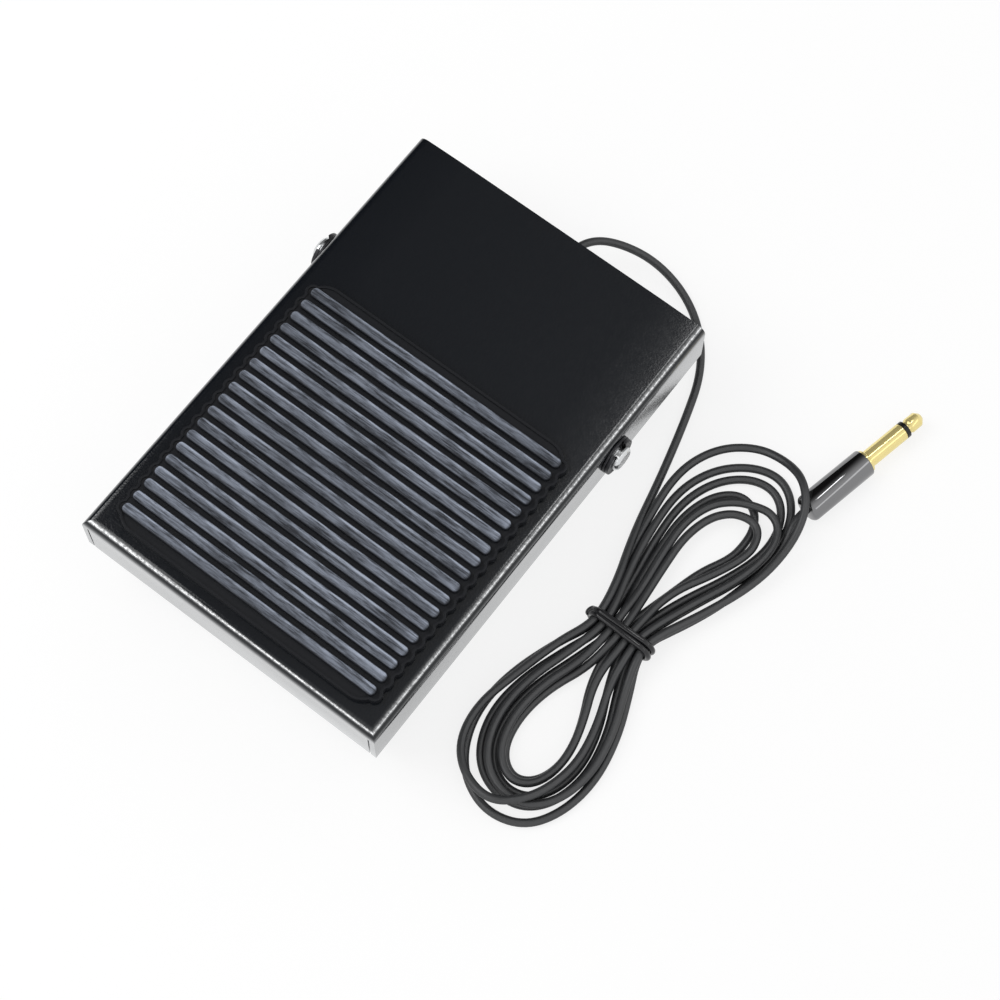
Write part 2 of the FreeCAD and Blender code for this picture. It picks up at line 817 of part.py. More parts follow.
def hank_point(turn):
    """The middle of the cord after this many turns of the hank.

    A turn starts at the left of the waist, runs round the front lobe, crosses the right
    of the waist and comes back round the rear lobe. The turns step inwards on the upper
    layer, drop at the innermost run and step outwards again on the lower one.
    """
    inwards = min(turn, hank_turns - turn)
    angle = 2 * math.pi * turn
    ahead = (1 + math.sin(angle)) / 2
    front_reach = hank_front_reach - hank_front_step * inwards
    rear_reach = hank_rear_reach - hank_rear_step * inwards
    y = -(front_reach * ahead + rear_reach * (1 - ahead)) * math.sin(angle)
    swell = math.sin(angle) ** 2
    roundness = lobe_roundness + roundness_step * inwards
    swell = swell / (roundness + (1 - roundness) * swell)
    lobe = front_lobe_width * ahead + rear_lobe_width * (1 - ahead)
    across = hank_waist - waist_step * inwards + (lobe - lobe_step * inwards) * swell
    x = -math.cos(angle) * across + hank_lean * y + hank_bow * y * y
    climb = min(max((hank_turns / 2 - turn) / climb_turns + 0.5, 0), 1)
    climb = climb * climb * (3 - 2 * climb)
    lift = hank_lift * math.cos(angle) ** 8
    return V(hank_x + x, hank_y + y, cord_floor + layer_step * climb + lift)


def hank_way(turn):
    """The direction of the cord after this many turns."""
    step = 1e-4
    return (hank_point(turn + step) - hank_point(turn - step)).normalize()


hank_start_way = V(0, -1, 0)
hank_end_way = V(0, 1, 0)
hank_start = hank_point(0) - hank_start_way * cord_diameter
hank_end = hank_point(hank_turns) + hank_end_way * cord_diameter


def least_gap(points, diameter, skip):
    """The least gap between stretches of cord that are not neighbours along it."""
    least = 1e9
    for i in range(len(points)):
        for j in range(i + skip, len(points)):
            dx = points[i].x - points[j].x
            if abs(dx) < least:
                least = min(least, points[i].distanceToPoint(points[j]))
    return least - diameter


def cord_hank():
    """The hank: one unbroken tube with straight ends at the waist."""
    joints = int(hank_turns * hank_spans)
    edges = [Part.LineSegment(hank_start, hank_point(0)).toShape()]
    for index in range(joints):
        a = index / hank_spans
        b = (index + 1) / hank_spans
        way_a = hank_start_way if index == 0 else hank_way(a)
        way_b = hank_end_way if index == joints - 1 else hank_way(b)
        edges += biarc(hank_point(a), way_a, hank_point(b), way_b)
    edges.append(Part.LineSegment(hank_point(hank_turns), hank_end).toShape())
    solid, length, agreement = tube_along(edges, cord_diameter, hank_start, hank_start_way)
    points = []
    for edge in edges:
        points += edge.discretize(8)[1:]
    spacing = length / len(points)
    gap = least_gap(points, cord_diameter, int(8 * cord_diameter / spacing))
    tightest = min(e.Curve.Radius for e in edges if hasattr(e.Curve, "Radius"))
    print("cord_hank: length %.0f, least gap to itself %.2f, tightest radius %.2f, volume agreement %.4f"
          % (length, gap, tightest, agreement))
    return solid


def cord_lead():
    """The free cord from the bushing, round the rear corner, to the waist of the hank."""
    points = [V(0, bushing_face, entry_height), V(0, 53.4, entry_height), V(2.0, 58.4, 8.2),
              V(6.6, 61.8, 5.8), V(12.4, 63.6, 3.4), V(18.8, 63.0, 1.6), V(24.8, 60.2, cord_floor),
              V(29.8, 55.6, cord_floor), V(33.6, 49.6, cord_floor), V(36.2, 42.2, cord_floor),
              V(38.5, 33.4, cord_floor), V(40.4, 24.2, cord_floor), V(42.0, 16.0, 1.8),
              hank_start - hank_start_way * 7.2, hank_start]
    return route_tube(points, cord_diameter, "cord_lead")


plug_way = V(math.sin(math.radians(plug_heading)), math.cos(math.radians(plug_heading)), 0)
plug_start = V(plug_x, plug_y, barrel_diameter / 2)


def cord_tail():
    """The free cord from the waist of the hank to the back of the plug."""
    points = [hank_end, hank_end + hank_end_way * 2.6, V(61.0, 7.2, 2.1), V(62.7, 12.4, 1.5),
              V(64.2, 17.6, 1.1), V(65.3, 22.6, cord_floor), V(65.9, 27.6, cord_floor),
              V(66.0, 32.2, 1.5), plug_start - plug_way * 2.8, plug_start]
    return route_tube(points, cord_diameter, "cord_tail")


def cord_tie():
    """The ring round the waist of the hank."""
    half = hank_waist + cord_radius + tie_gap
    bottom = cord_off_floor + hank_lift - tie_gap
    top = cord_off_floor + hank_lift + layer_step + cord_diameter + tie_gap
    left = hank_x - half
    right = hank_x + half
    y0 = hank_y - tie_length / 2
    y1 = hank_y + tie_length / 2
    hole = box(left, right, y0 - past, y1 + past, bottom, top)
    rim = box(left - tie_thickness, right + tie_thickness, y0, y1,
              bottom - tie_thickness, top + tie_thickness)
    long_edges = [e for e in rim.Edges if abs(e.tangentAt(e.FirstParameter).y) > 0.5]
    rim = rim.makeFillet((top - bottom) / 2, long_edges)
    inner_edges = [e for e in hole.Edges if abs(e.tangentAt(e.FirstParameter).y) > 0.5]
    return rim.cut(hole.makeFillet(cord_radius, inner_edges))


def plug_barrel():
    """The plug's grip."""
    radius = barrel_diameter / 2
    return turned([(0, 0), (0, radius - barrel_edge), (barrel_edge, radius),
                   (barrel_length - barrel_front_edge, radius),
                   (barrel_length, radius - barrel_front_edge), (barrel_length, 0)],
                  plug_start, plug_way)


def plug_sleeve():
    """The collar and the sleeve contact."""
    start = plug_start + plug_way * barrel_length
    end = collar_length + insulator_from_collar
    return turned([(0, 0), (0, collar_diameter / 2), (collar_length, collar_diameter / 2),
                   (collar_length, contact_diameter / 2), (end, contact_diameter / 2), (end, 0)],
                  start, plug_way)


def plug_insulator():
    """The ring between the two contacts."""
    start = plug_start + plug_way * (barrel_length + collar_length + insulator_from_collar)
    radius = contact_diameter / 2
    return turned([(0, 0), (0, radius), (insulator_length, radius), (insulator_length, 0)], start, plug_way)


def plug_tip():
    """The tip contact, with its neck and cone."""
    taken = insulator_from_collar + insulator_length
    start = plug_start + plug_way * (barrel_length + collar_length + taken)
    length = contact_length - taken
    radius = contact_diameter / 2 - tip_step
    return turned([(0, 0), (0, tip_neck / 2), (tip_neck_length, tip_neck / 2),
                   (tip_neck_length + tip_neck_slope, radius), (length - tip_chamfer, radius),
                   (length, radius - tip_chamfer), (length, 0)], start, plug_way)


os.makedirs("parts", exist_ok=True)

save("treadle_cover", treadle_cover())
save("rubber_pad", rubber_pad())
save("pivot_shaft", pivot_shaft())
washer = shaft_washer()
save("shaft_washers", washer, mirrored(washer))
clip = shaft_clip()
save("shaft_clips", clip, mirrored(clip))
save("spring_cup", spring_cup())
save("striker_stud", striker())
save("base_tray", base_tray())
bush = pivot_bush()
save("pivot_bushes", bush, mirrored(bush))
save("rubber_feet", *[rubber_foot(place) for place in foot_places()])
save("rear_stop_pad", stop_pad())
save("spring_stud", spring_stud())
save("return_spring", return_spring())
save("switch_case", switch_case())
save("switch_lid", switch_lid())
save("switch_button", switch_button())
save("switch_lever", switch_lever())
save("switch_terminals", *switch_terminals())
save("switch_bracket", switch_bracket())
small_screws, small_nuts = switch_fasteners()
save("switch_screws", *small_screws)
save("switch_nuts", *small_nuts)
bracket_screws, bracket_nuts = floor_fasteners(bracket_screw_places(), bracket_sheet)
save("bracket_screws", *bracket_screws)
save("bracket_nuts", *bracket_nuts)
save("cord_clamp", cord_clamp())
clamp_screws, clamp_nuts = floor_fasteners([clamp_screw_place()], clamp_sheet)
save("clamp_screw", *clamp_screws)
save("clamp_nut", *clamp_nuts)
save("cord_bushing", cord_bushing())
save("cord_inner", cord_inner())
save("inner_wires", *inner_wires())
save("cord_lead", cord_lead())
save("cord_hank", cord_hank())
save("cord_tail", cord_tail())
save("cord_tie", cord_tie())
save("plug_barrel", plug_barrel())
save("plug_sleeve", plug_sleeve())
save("plug_insulator", plug_insulator())
save("plug_tip", plug_tip())
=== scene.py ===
import json
import math

import bmesh
import bpy
from bpy.props import FloatProperty, FloatVectorProperty, IntProperty, PointerProperty
from bpy.types import Operator, Panel, PropertyGroup
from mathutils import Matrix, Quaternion, Vector


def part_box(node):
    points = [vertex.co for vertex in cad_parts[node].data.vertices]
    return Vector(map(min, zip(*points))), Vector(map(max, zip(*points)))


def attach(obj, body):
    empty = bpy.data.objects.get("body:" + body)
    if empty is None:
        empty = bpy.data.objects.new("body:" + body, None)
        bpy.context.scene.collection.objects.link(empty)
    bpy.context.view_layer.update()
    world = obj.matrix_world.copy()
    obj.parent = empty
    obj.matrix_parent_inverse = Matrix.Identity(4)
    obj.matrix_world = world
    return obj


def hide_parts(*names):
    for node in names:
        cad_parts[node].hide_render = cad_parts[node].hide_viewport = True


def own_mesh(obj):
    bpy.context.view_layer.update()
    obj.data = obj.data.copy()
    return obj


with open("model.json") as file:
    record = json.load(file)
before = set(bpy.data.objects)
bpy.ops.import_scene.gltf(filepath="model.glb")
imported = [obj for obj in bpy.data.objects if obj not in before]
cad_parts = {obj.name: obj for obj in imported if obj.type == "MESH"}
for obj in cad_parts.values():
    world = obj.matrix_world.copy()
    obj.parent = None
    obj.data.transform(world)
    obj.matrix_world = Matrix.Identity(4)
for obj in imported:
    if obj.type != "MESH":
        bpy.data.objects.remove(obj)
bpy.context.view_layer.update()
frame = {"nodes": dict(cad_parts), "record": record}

bl_info = {
    "name": "Foot Pedal Switch",
    "version": (1, 0, 0),
    "blender": (4, 5, 0),
    "location": "View3D > Sidebar > Foot Switch",
    "description": "Dresses a small steel foot switch with its cord and phone plug",
    "category": "Object",
}

MM = 0.001
# Points that are closer than this count as one
TINY = 0.001 * MM
# Edges that are sharper than this are rounded, and stay crisp in smooth shading
SHARP_DEGREES = 35

# Places taken from the frame, in metres
COVER_LOW, COVER_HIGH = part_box("treadle_cover")
PAD_LOW, PAD_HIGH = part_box("rubber_pad")
SHAFT_LOW, SHAFT_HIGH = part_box("pivot_shaft")
WASHER_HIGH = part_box("shaft_washers")[1]
CLIP_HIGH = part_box("shaft_clips")[1]
PIVOT = (SHAFT_LOW + SHAFT_HIGH) / 2


def colour(description, value):
    """A colour property with this default."""
    return FloatVectorProperty(name=description, description=description + " colour", size=3,
                               subtype="COLOR", min=0, max=1, default=value)


def length(name, description, value):
    """A length property with this default, in metres."""
    return FloatProperty(name=name, description=description, default=value, unit="LENGTH", precision=5)


def angle(name, description, value):
    """An angle property with this default, in radians."""
    return FloatProperty(name=name, description=description, default=value, subtype="ANGLE", unit="ROTATION")


class FootSwitchSizes(PropertyGroup):
    """Sizes that a user may change."""
    cord_diameter: length("Cord diameter", "Diameter of the jacketed cord", 1.6 * MM)
    tie_diameter: length("Tie diameter", "Thickness of the round band that ties the hank", 1.2 * MM)
    barrel_diameter: length("Barrel diameter", "Diameter of the plug's grip", 5.6 * MM)
    barrel_length: length("Barrel length", "Length of the plug's grip", 15.0 * MM)
    collar_diameter: length("Collar diameter", "Diameter of the gold collar at the grip", 4.7 * MM)
    collar_length: length("Collar length", "Length of the gold collar at the grip", 0.6 * MM)
    sleeve_diameter: length("Contact diameter", "Diameter of the phone plug's contacts", 3.5 * MM)
    sleeve_length: length("Long contact", "Length of the contact next to the collar", 9.2 * MM)
    insulator_length: length("Ring length", "Length of the black ring between the contacts", 0.9 * MM)
    tip_length: length("Short contact", "Length of the contact at the plug's end", 3.9 * MM)
    cover_sheet: length("Cover sheet", "Thickness of the cover's sheet", 1.2 * MM)
    cover_bend: length("Cover bend", "Outer radius of the cover's folds", 2.0 * MM)
    corner_slit: length("Corner slit", "Width of the slit where the front and side lips meet", 0.3 * MM)
    shoulder_reach: length("Shoulder reach", "Width of one step of the top's sloping shoulder", 2.4 * MM)
    shoulder_drop: length("Shoulder drop", "How far the top falls over one full slope", 0.25 * MM)
    edge_round: length("Edge rounding", "Radius of the rounding on the cover's cut edges", 0.14 * MM)
    press_angle: angle("Press angle", "How far the treadle turns when pressed", math.radians(3.5))
    shaft_fit: length("Shaft fit", "Room round the shaft in the cover's holes", 0.03 * MM)
    groove_play: length("Groove play", "Room along the shaft beside each washer and clip", 0.1 * MM)
    groove_depth: length("Groove depth", "Depth of the shaft's grooves", 0.5 * MM)
    rib_pitch: length("Rib pitch", "Distance from one rib of the pad to the next", 2.95 * MM)
    rib_width: length("Rib width", "Width of one rib of the pad", 2.0 * MM)
    rib_height: length("Rib height", "Height of one rib over the pad's sheet", 1.0 * MM)
    rib_margin: length("Rib margin", "From the pad's end to the middle of its first rib", 3.1 * MM)
    rib_end: length("Rib end", "From the pad's side to the end of a rib", 1.3 * MM)
    rib_round: length("Rib rounding", "Radius of the rounding along a rib's top", 0.36 * MM)
    pad_round: length("Pad rounding", "Radius of the rounding on the pad's sheet", 0.12 * MM)
    rib_count: IntProperty(name="Ribs", description="Number of ribs on the pad", default=19, min=2, max=60)


class FootSwitchColours(PropertyGroup):
    """Colours that a user may change."""
    paint: colour("Cover paint", (0.006, 0.0075, 0.0105))
    pad_low: colour("Pad groove", (0.009, 0.010, 0.013))
    # Pale blue-grey of the rib tops: dust with painted sheen
    pad_high: colour("Pad rib", (0.205, 0.228, 0.278))
    zinc: colour("Zinc plating", (0.70, 0.71, 0.72))
    black_steel: colour("Blackened steel", (0.03, 0.03, 0.034))
    tray: colour("Tray plating", (0.55, 0.56, 0.57))
    nylon: colour("Nylon", (0.74, 0.72, 0.66))
    rubber: colour("Foot rubber", (0.022, 0.022, 0.023))
    spring: colour("Spring steel", (0.50, 0.51, 0.53))
    switch_black: colour("Switch body", (0.022, 0.022, 0.024))
    switch_red: colour("Switch button", (0.42, 0.03, 0.02))
    terminal: colour("Switch terminals", (0.72, 0.69, 0.60))
    jacket: colour("Cord jacket", (0.026, 0.027, 0.029))
    wire: colour("Wire insulation", (0.45, 0.04, 0.03))
    tie: colour("Tie", (0.012, 0.012, 0.014))
    barrel: colour("Plug barrel", (0.22, 0.22, 0.225))
    gold: colour("Gold plating", (1.0, 0.84, 0.36))
    ring: colour("Insulator", (0.008, 0.008, 0.008))


def sizes():
    """The sizes of this scene's foot switch."""
    return bpy.context.scene.foot_switch_sizes


def colours():
    """The colours of this scene's foot switch."""
    return bpy.context.scene.foot_switch_colours


# Material graphs

def link(tree, value, socket):
    """Feeds an input socket from an output socket, or sets it to a constant."""
    if isinstance(value, bpy.types.NodeSocket):
        tree.links.new(value, socket)
    else:
        socket.default_value = value


def add_node(tree, kind, **values):
    """A new node with its inputs set or fed: underscores stand for spaces in their names."""
    node = tree.nodes.new(kind)
    for name, value in values.items():
        link(tree, value, node.inputs[name.replace("_", " ")])
    return node


def maths(tree, operation, first, second=0.0):
    """A sum on two values, each a number or an output socket."""
    node = tree.nodes.new("ShaderNodeMath")
    node.operation = operation
    link(tree, first, node.inputs[0])
    link(tree, second, node.inputs[1])
    return node.outputs[0]


def mixed(tree, share, first, second):
    """A mix of two shaders."""
    node = tree.nodes.new("ShaderNodeMixShader")
    for value, socket in zip((share, first, second), node.inputs):
        link(tree, value, socket)
    return node.outputs[0]


def socket_of(sockets, name, kind):
    """The socket of one name and kind, where a node has several of that name."""
    return next(socket for socket in sockets if socket.name == name and socket.type == kind)


def scaled(value, share):
    """A colour times a share."""
    return tuple(channel * share for channel in value)


class Finish:
    """One material, with short ways to add its nodes and to give its surface their patterns."""

    def __init__(self, name):
        self.material = bpy.data.materials.new(name)
        self.material.use_nodes = True
        self.tree = self.material.node_tree
        self.tree.nodes.clear()
        self.surface = self.add("ShaderNodeBsdfPrincipled")
        self.output = self.add("ShaderNodeOutputMaterial", Surface=self.surface.outputs["BSDF"])
        self.place = self.add("ShaderNodeTexCoord")

    def add(self, kind, **values):
        """A new node in this material."""
        return add_node(self.tree, kind, **values)

    def set(self, **values):
        """Sets or feeds inputs of the surface shader."""
        for name, value in values.items():
            link(self.tree, value, self.surface.inputs[name.replace("_", " ")])

    def axes(self, kind):
        """The X, Y and Z of one kind of coordinates."""
        return self.add("ShaderNodeSeparateXYZ", Vector=self.place.outputs[kind]).outputs

    def slant(self):
        """How far the surface turns away from the viewer."""
        return self.add("ShaderNodeLayerWeight", Blend=0.5).outputs["Facing"]

    def noise(self, scale, detail=2.0, rough=0.5, stretch=(1, 1, 1)):
        """A noise pattern on the piece: scale is its number of features per metre."""
        place = self.add("ShaderNodeMapping", Vector=self.place.outputs["Object"], Scale=stretch)
        return self.add("ShaderNodeTexNoise", Vector=place.outputs["Vector"], Scale=scale, Detail=detail,
                        Roughness=rough).outputs["Fac"]

    def spread(self, value, low, high, from_low=0.3, from_high=0.7):
        """Maps a value's range to another one."""
        return self.add("ShaderNodeMapRange", Value=value, From_Min=from_low, From_Max=from_high,
                        To_Min=low, To_Max=high).outputs["Result"]

    def blend(self, share, low, high):
        """Mixes two colours by a share."""
        node = self.add("ShaderNodeMix")
        node.data_type = "RGBA"
        link(self.tree, share, node.inputs["Factor"])
        for name, value in (("A", low), ("B", high)):
            socket_of(node.inputs, name, "RGBA").default_value = (*value, 1)
        return socket_of(node.outputs, "Result", "RGBA")

    def ramp(self, value, stops):
        """A grey scale through (place, grey) stops."""
        node = self.add("ShaderNodeValToRGB", Fac=value)
        scale = node.color_ramp.elements
        while len(scale) < len(stops):
            scale.new(0.5)
        for element, (place, grey) in zip(scale, stops):
            element.position = place
            element.color = (grey, grey, grey, 1)
        return node.outputs["Color"]

    def product(self, first, *others):
        """Several values multiplied."""
        for other in others:
            first = maths(self.tree, "MULTIPLY", first, other)
        return first

    def bump(self, pattern, height, strength, under=None):
        """Adds relief from a pattern, height metres high, over another relief if there is one."""
        node = self.add("ShaderNodeBump", Height=pattern, Distance=height, Strength=strength)
        if under is not None:
            link(self.tree, under, node.inputs["Normal"])
        self.set(Normal=node.outputs["Normal"])
        return node.outputs["Normal"]

    def clear_coat_of_light(self, share, rough, relief):
        """Lays a white gloss over the surface, as strong as a share."""
        gloss = self.add("ShaderNodeBsdfGlossy", Color=(0.93, 0.94, 0.95, 1), Roughness=rough, Normal=relief)
        coated = mixed(self.tree, share, self.surface.outputs["BSDF"], gloss.outputs["BSDF"])
        link(self.tree, coated, self.output.inputs["Surface"])


def mottled(finish, value, scale, low=0.85, high=1.2, stretch=(1, 1, 1)):
    """Colours a finish with a gentle variation of one colour."""
    pattern = finish.noise(scale, 4.0, 0.6, stretch)
    finish.set(Base_Color=finish.blend(pattern, scaled(value, low), scaled(value, high)))


def uneven_gloss(finish, scale, low, high, stretch=(1, 1, 1)):
    """Lets the roughness wander between two values."""
    finish.set(Roughness=finish.spread(finish.noise(scale, 3.0, 0.55, stretch), low, high))


def lip_gloss(finish, facing):
    """How bright the upright lips shine where they turn away from the viewer, least on the right side."""
    upright = finish.spread(maths(finish.tree, "ABSOLUTE", facing["Z"]), 1.0, 0.0, 0.30, 0.78)
    aslant = finish.spread(finish.slant(), 0.0, 0.82, 0.25, 0.62)
    patches = finish.spread(finish.noise(28, stretch=(0.4, 0.4, 1.6)), 0.5, 1.0)
    right = finish.spread(facing["X"], 0.9, 0.55, 0.4, 0.6)
    return finish.product(upright, aslant, patches, right)


def painted_bend_highlight(finish, facing):
    """Painted highlight: a pale speckled line of white gloss along the front and right bends, which the left
    bend lacks.
    """
    line = finish.ramp(facing["Z"], [(0.76, 0.0), (0.84, 0.5), (0.89, 0.75), (0.93, 0.5), (0.97, 0.2),
                                     (0.9992, 0.0)])
    not_left = finish.spread(facing["X"], 0.0, 1.0, -0.32, -0.12)
    right = finish.spread(facing["X"], 1.0, 0.75, 0.02, 0.12)
    speckle = finish.spread(finish.noise(1900, 3.0, 0.7), 0.35, 1.0, 0.38, 0.6)
    return finish.product(line, not_left, right, speckle)


def powder_paint():
    """Black satin paint with the fine grain of baked powder, glossy on upright lips, with a painted highlight
    along the front and right bends.
    """
    finish = Finish("powder_paint")
    mottled(finish, colours().paint, 45, 0.94, 1.06)
    uneven_gloss(finish, 900, 0.12, 0.17)
    finish.set(Specular_IOR_Level=0.45)
    wide = finish.bump(finish.noise(650, 1.0, 0.5), 0.006 * MM, 0.5)
    relief = finish.bump(finish.noise(2400), 0.016 * MM, 0.8, wide)
    facing = finish.axes("Normal")
    # Gloss on the upright lips, and a painted highlight along the front and right bends
    shine = maths(finish.tree, "MAXIMUM", lip_gloss(finish, facing), painted_bend_highlight(finish, facing))
    finish.clear_coat_of_light(shine, 0.14, relief)
    return finish.material


def rib_dust_and_sheen(finish, streaks):
    """How pale the pad is: dust and painted sheen on the ribs' tops, a painted highlight along their rear
    rims, and brighter near their ends.
    """
    own = sizes()
    at = finish.axes("Object")
    top = PAD_HIGH.z
    sheet = top - own.rib_height
    # Tops paler: dust, and painted sheen from above
    top_dust_and_sheen = finish.spread(at["Z"], 0.25, 1.0, top - 0.22 * MM, top - 0.03 * MM)
    raised = finish.spread(at["Z"], 0.0, 1.0, sheet + 0.3 * MM, sheet + 0.7 * MM)
    side = maths(finish.tree, "ADD", maths(finish.tree, "DIVIDE", at["X"], 2 * PAD_HIGH.x), 0.5)
    ends = finish.ramp(side, [(0.022, 1.5), (0.034, 0.8), (0.05, 1.0), (0.93, 1.0), (0.968, 1.4),
                              (0.976, 0.5)])
    first = PAD_LOW.y + own.rib_margin - own.rib_pitch / 2
    steps = maths(finish.tree, "DIVIDE", maths(finish.tree, "SUBTRACT", at["Y"], first), own.rib_pitch)
    across = maths(finish.tree, "FRACT", steps)
    # Painted highlight along each rib's rear rim, with painted shade towards its front side
    rim = finish.ramp(across, [(0.18, 0.10), (0.26, 0.30), (0.60, 0.38), (0.75, 0.80), (0.81, 0.30)])
    streak = finish.spread(streaks, 0.15, 1.55, 0.38, 0.62)
    patch = finish.spread(finish.noise(40), 0.7, 1.25)
    return finish.product(rim, streak, patch, finish.product(top_dust_and_sheen, raised), ends)


def pad_rubber():
    """Black rubber, a dusty blue-grey with painted sheen on top of the ribs, and palest along their rear
    rims, where a highlight is painted.
    """
    finish = Finish("pad_rubber")
    streaks = finish.noise(900, 6.0, 0.75, (0.14, 1.6, 1.6))
    pad_dust_and_sheen = scaled(colours().pad_high, 2.0)
    finish.set(Base_Color=finish.blend(rib_dust_and_sheen(finish, streaks), colours().pad_low, pad_dust_and_sheen))
    uneven_gloss(finish, 500, 0.42, 0.6)
    finish.set(Specular_IOR_Level=0.22)
    scratches = finish.bump(streaks, 0.06 * MM, 0.5)
    finish.bump(finish.noise(3000, 2.0, 0.6), 0.03 * MM, 0.5, scratches)
    return finish.material


def cord_jacket():
    """Soft black jacket with a satin sheen along its ridge."""
    finish = Finish("cord_jacket")
    mottled(finish, colours().jacket, 190)
    uneven_gloss(finish, 750, 0.42, 0.52)
    finish.set(Specular_IOR_Level=0.4)
    relief = finish.bump(finish.noise(3000), 0.01 * MM, 0.6)
    finish.clear_coat_of_light(finish.spread(finish.slant(), 0.035, 0.0, 0.02, 0.6), 0.4, relief)
    return finish.material


def polished_grip():
    """The plug's grip: dark, polished like glass, with faint turning marks."""
    finish = Finish("polished_grip")
    mottled(finish, colours().barrel, 90, 0.92, 1.05)
    uneven_gloss(finish, 700, 0.05, 0.09)
    finish.set(Metallic=1.0)
    finish.bump(finish.noise(1500, stretch=(1, 0.1, 1)), 0.004 * MM, 0.4)
    return finish.material


def plated(name, value, rough_low, rough_high, scale, stretch=(1, 1, 1), metal=1.0):
    """Bright plated metal with a wandering gloss and faint drawn marks."""
    finish = Finish(name)
    mottled(finish, value, scale / 6, 0.86, 1.06, stretch)
    uneven_gloss(finish, scale, rough_low, rough_high, stretch)
    finish.set(Metallic=metal)
    finish.bump(finish.noise(scale * 2, 3.0, 0.6, stretch), 0.01 * MM, 0.5)
    return finish.material


def moulded(name, value, rough_low, rough_high, specular=0.4, relief=0.01 * MM):
    """Moulded plastic or rubber with a fine skin."""
    finish = Finish(name)
    mottled(finish, value, 187.5)
    uneven_gloss(finish, 750, rough_low, rough_high)
    finish.set(Specular_IOR_Level=specular)
    finish.bump(finish.noise(3000), relief, 0.6)
    return finish.material


def all_materials():
    """One material for each slot of the record."""
    own = colours()
    return {
        "black_paint": powder_paint(),
        "pad_rubber": pad_rubber(),
        "zinc": plated("zinc_plating", own.zinc, 0.16, 0.30, 1400),
        "black_steel": plated("blackened_steel", own.black_steel, 0.28, 0.42, 1200, metal=0.6),
        "base_steel": plated("tray_plating", own.tray, 0.26, 0.42, 800, (0.2, 1, 1)),
        "nylon": moulded("natural_nylon", own.nylon, 0.35, 0.5),
        "foot_rubber": moulded("foot_rubber", own.rubber, 0.6, 0.8, 0.25, 0.04 * MM),
        "spring_steel": plated("spring_steel", own.spring, 0.2, 0.32, 1500),
        "switch_black": moulded("switch_body", own.switch_black, 0.3, 0.42),
        "switch_red": moulded("switch_button", own.switch_red, 0.25, 0.35),
        "terminal_metal": plated("tinned_brass", own.terminal, 0.22, 0.36, 1300),
        "bushing_rubber": moulded("bushing_rubber", own.rubber, 0.5, 0.65, 0.3, 0.03 * MM),
        "cord_jacket": cord_jacket(),
        "wire_insulation": moulded("wire_insulation", own.wire, 0.3, 0.42),
        "tie_plastic": moulded("tie_band", own.tie, 0.10, 0.18, 0.5, 0.006 * MM),
        "barrel_black": polished_grip(),
        "gold": plated("gold_plating", own.gold, 0.06, 0.11, 1100, metal=0.55),
        "ring_black": moulded("insulator_ring", own.ring, 0.3, 0.4),
    }


MATERIALS = {}


def material_of(slot):
    """The material for one slot of the record, made once."""
    if not MATERIALS:
        MATERIALS.update(all_materials())
    return MATERIALS[slot]


def slot_of(node):
    """The record's material slot of a node."""
    for part in frame["record"]["subparts"]:
        if part["node"] == node:
            return part["material_slot"]
    raise RuntimeError("no slot for " + node)


def dress(piece, node, body, *more_nodes):
    """Gives a new piece the finish and body of the node that it stands for, alone or with more nodes."""
    slot = slot_of(node)
    piece.data.materials.clear()
    piece.data.materials.append(material_of(slot))
    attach(piece, body)
    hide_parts(node, *more_nodes)


# Route of the cord, in millimetres

# Height of the cord's middle on the floor, and on top of the turns that lie there
FLOOR_LAYER = 0.85
TOP_LAYER = 2.65
ON_FLOOR = (FLOOR_LAYER, FLOOR_LAYER)
ON_TOP = (TOP_LAYER, TOP_LAYER)
CORD_LEAD = [(0, 48.9, 9.4), (0, 53.4, 9.4), (2.0, 58.4, 8.2), (6.6, 61.8, 5.8), (12.4, 63.6, 3.4),
             (18.8, 63.0, 1.6), (24.8, 60.2, FLOOR_LAYER), (29.8, 55.6, FLOOR_LAYER),
             (33.6, 49.6, FLOOR_LAYER), (36.0, 42.2, FLOOR_LAYER), (38.2, 34.2, FLOOR_LAYER),
             (40.1, 26.4, FLOOR_LAYER), (41.6, 19.4, 1.1), (43.4, 13.2, 2.5), (45.6, 6.8, 3.7)]
CORD_TAIL = [(59.0, 4.4, 1.7), (61.0, 9.0, 0.95), (62.9, 13.8, FLOOR_LAYER), (64.3, 18.4, FLOOR_LAYER),
             (65.3, 23.0, FLOOR_LAYER), (65.9, 27.8, FLOOR_LAYER), (66.0, 32.2, 1.5)]
PLUG_RUN = 2.8
# The hank's waist, where the tie holds the crossings in seven columns and two layers
WAIST_Y = -1.4
WAIST_REACH = 2.2
WAIST_FIRST = 46.9
WAIST_STEP = 1.75
WAIST_LAST = WAIST_FIRST + 6 * WAIST_STEP
WAIST_LOW = 2.25
WAIST_HIGH = 3.95
REAR_OUTER = [(44.8, 10.0), (43.2, 20.0), (42.6, 30.0), (45.4, 38.0), (51.0, 43.2), (57.2, 44.4),
              (62.2, 42.4), (66.0, 37.8), (67.4, 31.0), (66.4, 22.0), (62.4, 11.6)]
REAR_INNER = [(51.4, 7.8), (50.8, 14.3), (50.4, 21.0), (51.8, 26.8), (54.4, 30.2), (57.4, 31.6),
              (59.8, 31.2), (61.5, 29.2), (62.0, 25.6), (59.4, 19.0), (54.6, 10.4)]
FRONT_OUTER = [(43.6, -9.4), (40.4, -19.2), (39.4, -28.0), (41.4, -35.4), (45.8, -40.4), (52.6, -42.6),
               (59.6, -40.6), (63.6, -34.4), (64.9, -26.0), (63.2, -17.0), (60.0, -9.2)]
FRONT_INNER = [(51.0, -10.0), (48.0, -17.0), (46.8, -23.6), (47.4, -29.4), (49.4, -33.0), (52.6, -34.6),
               (55.6, -33.4), (57.6, -30.2), (58.2, -25.4), (56.8, -19.4), (53.0, -11.4)]
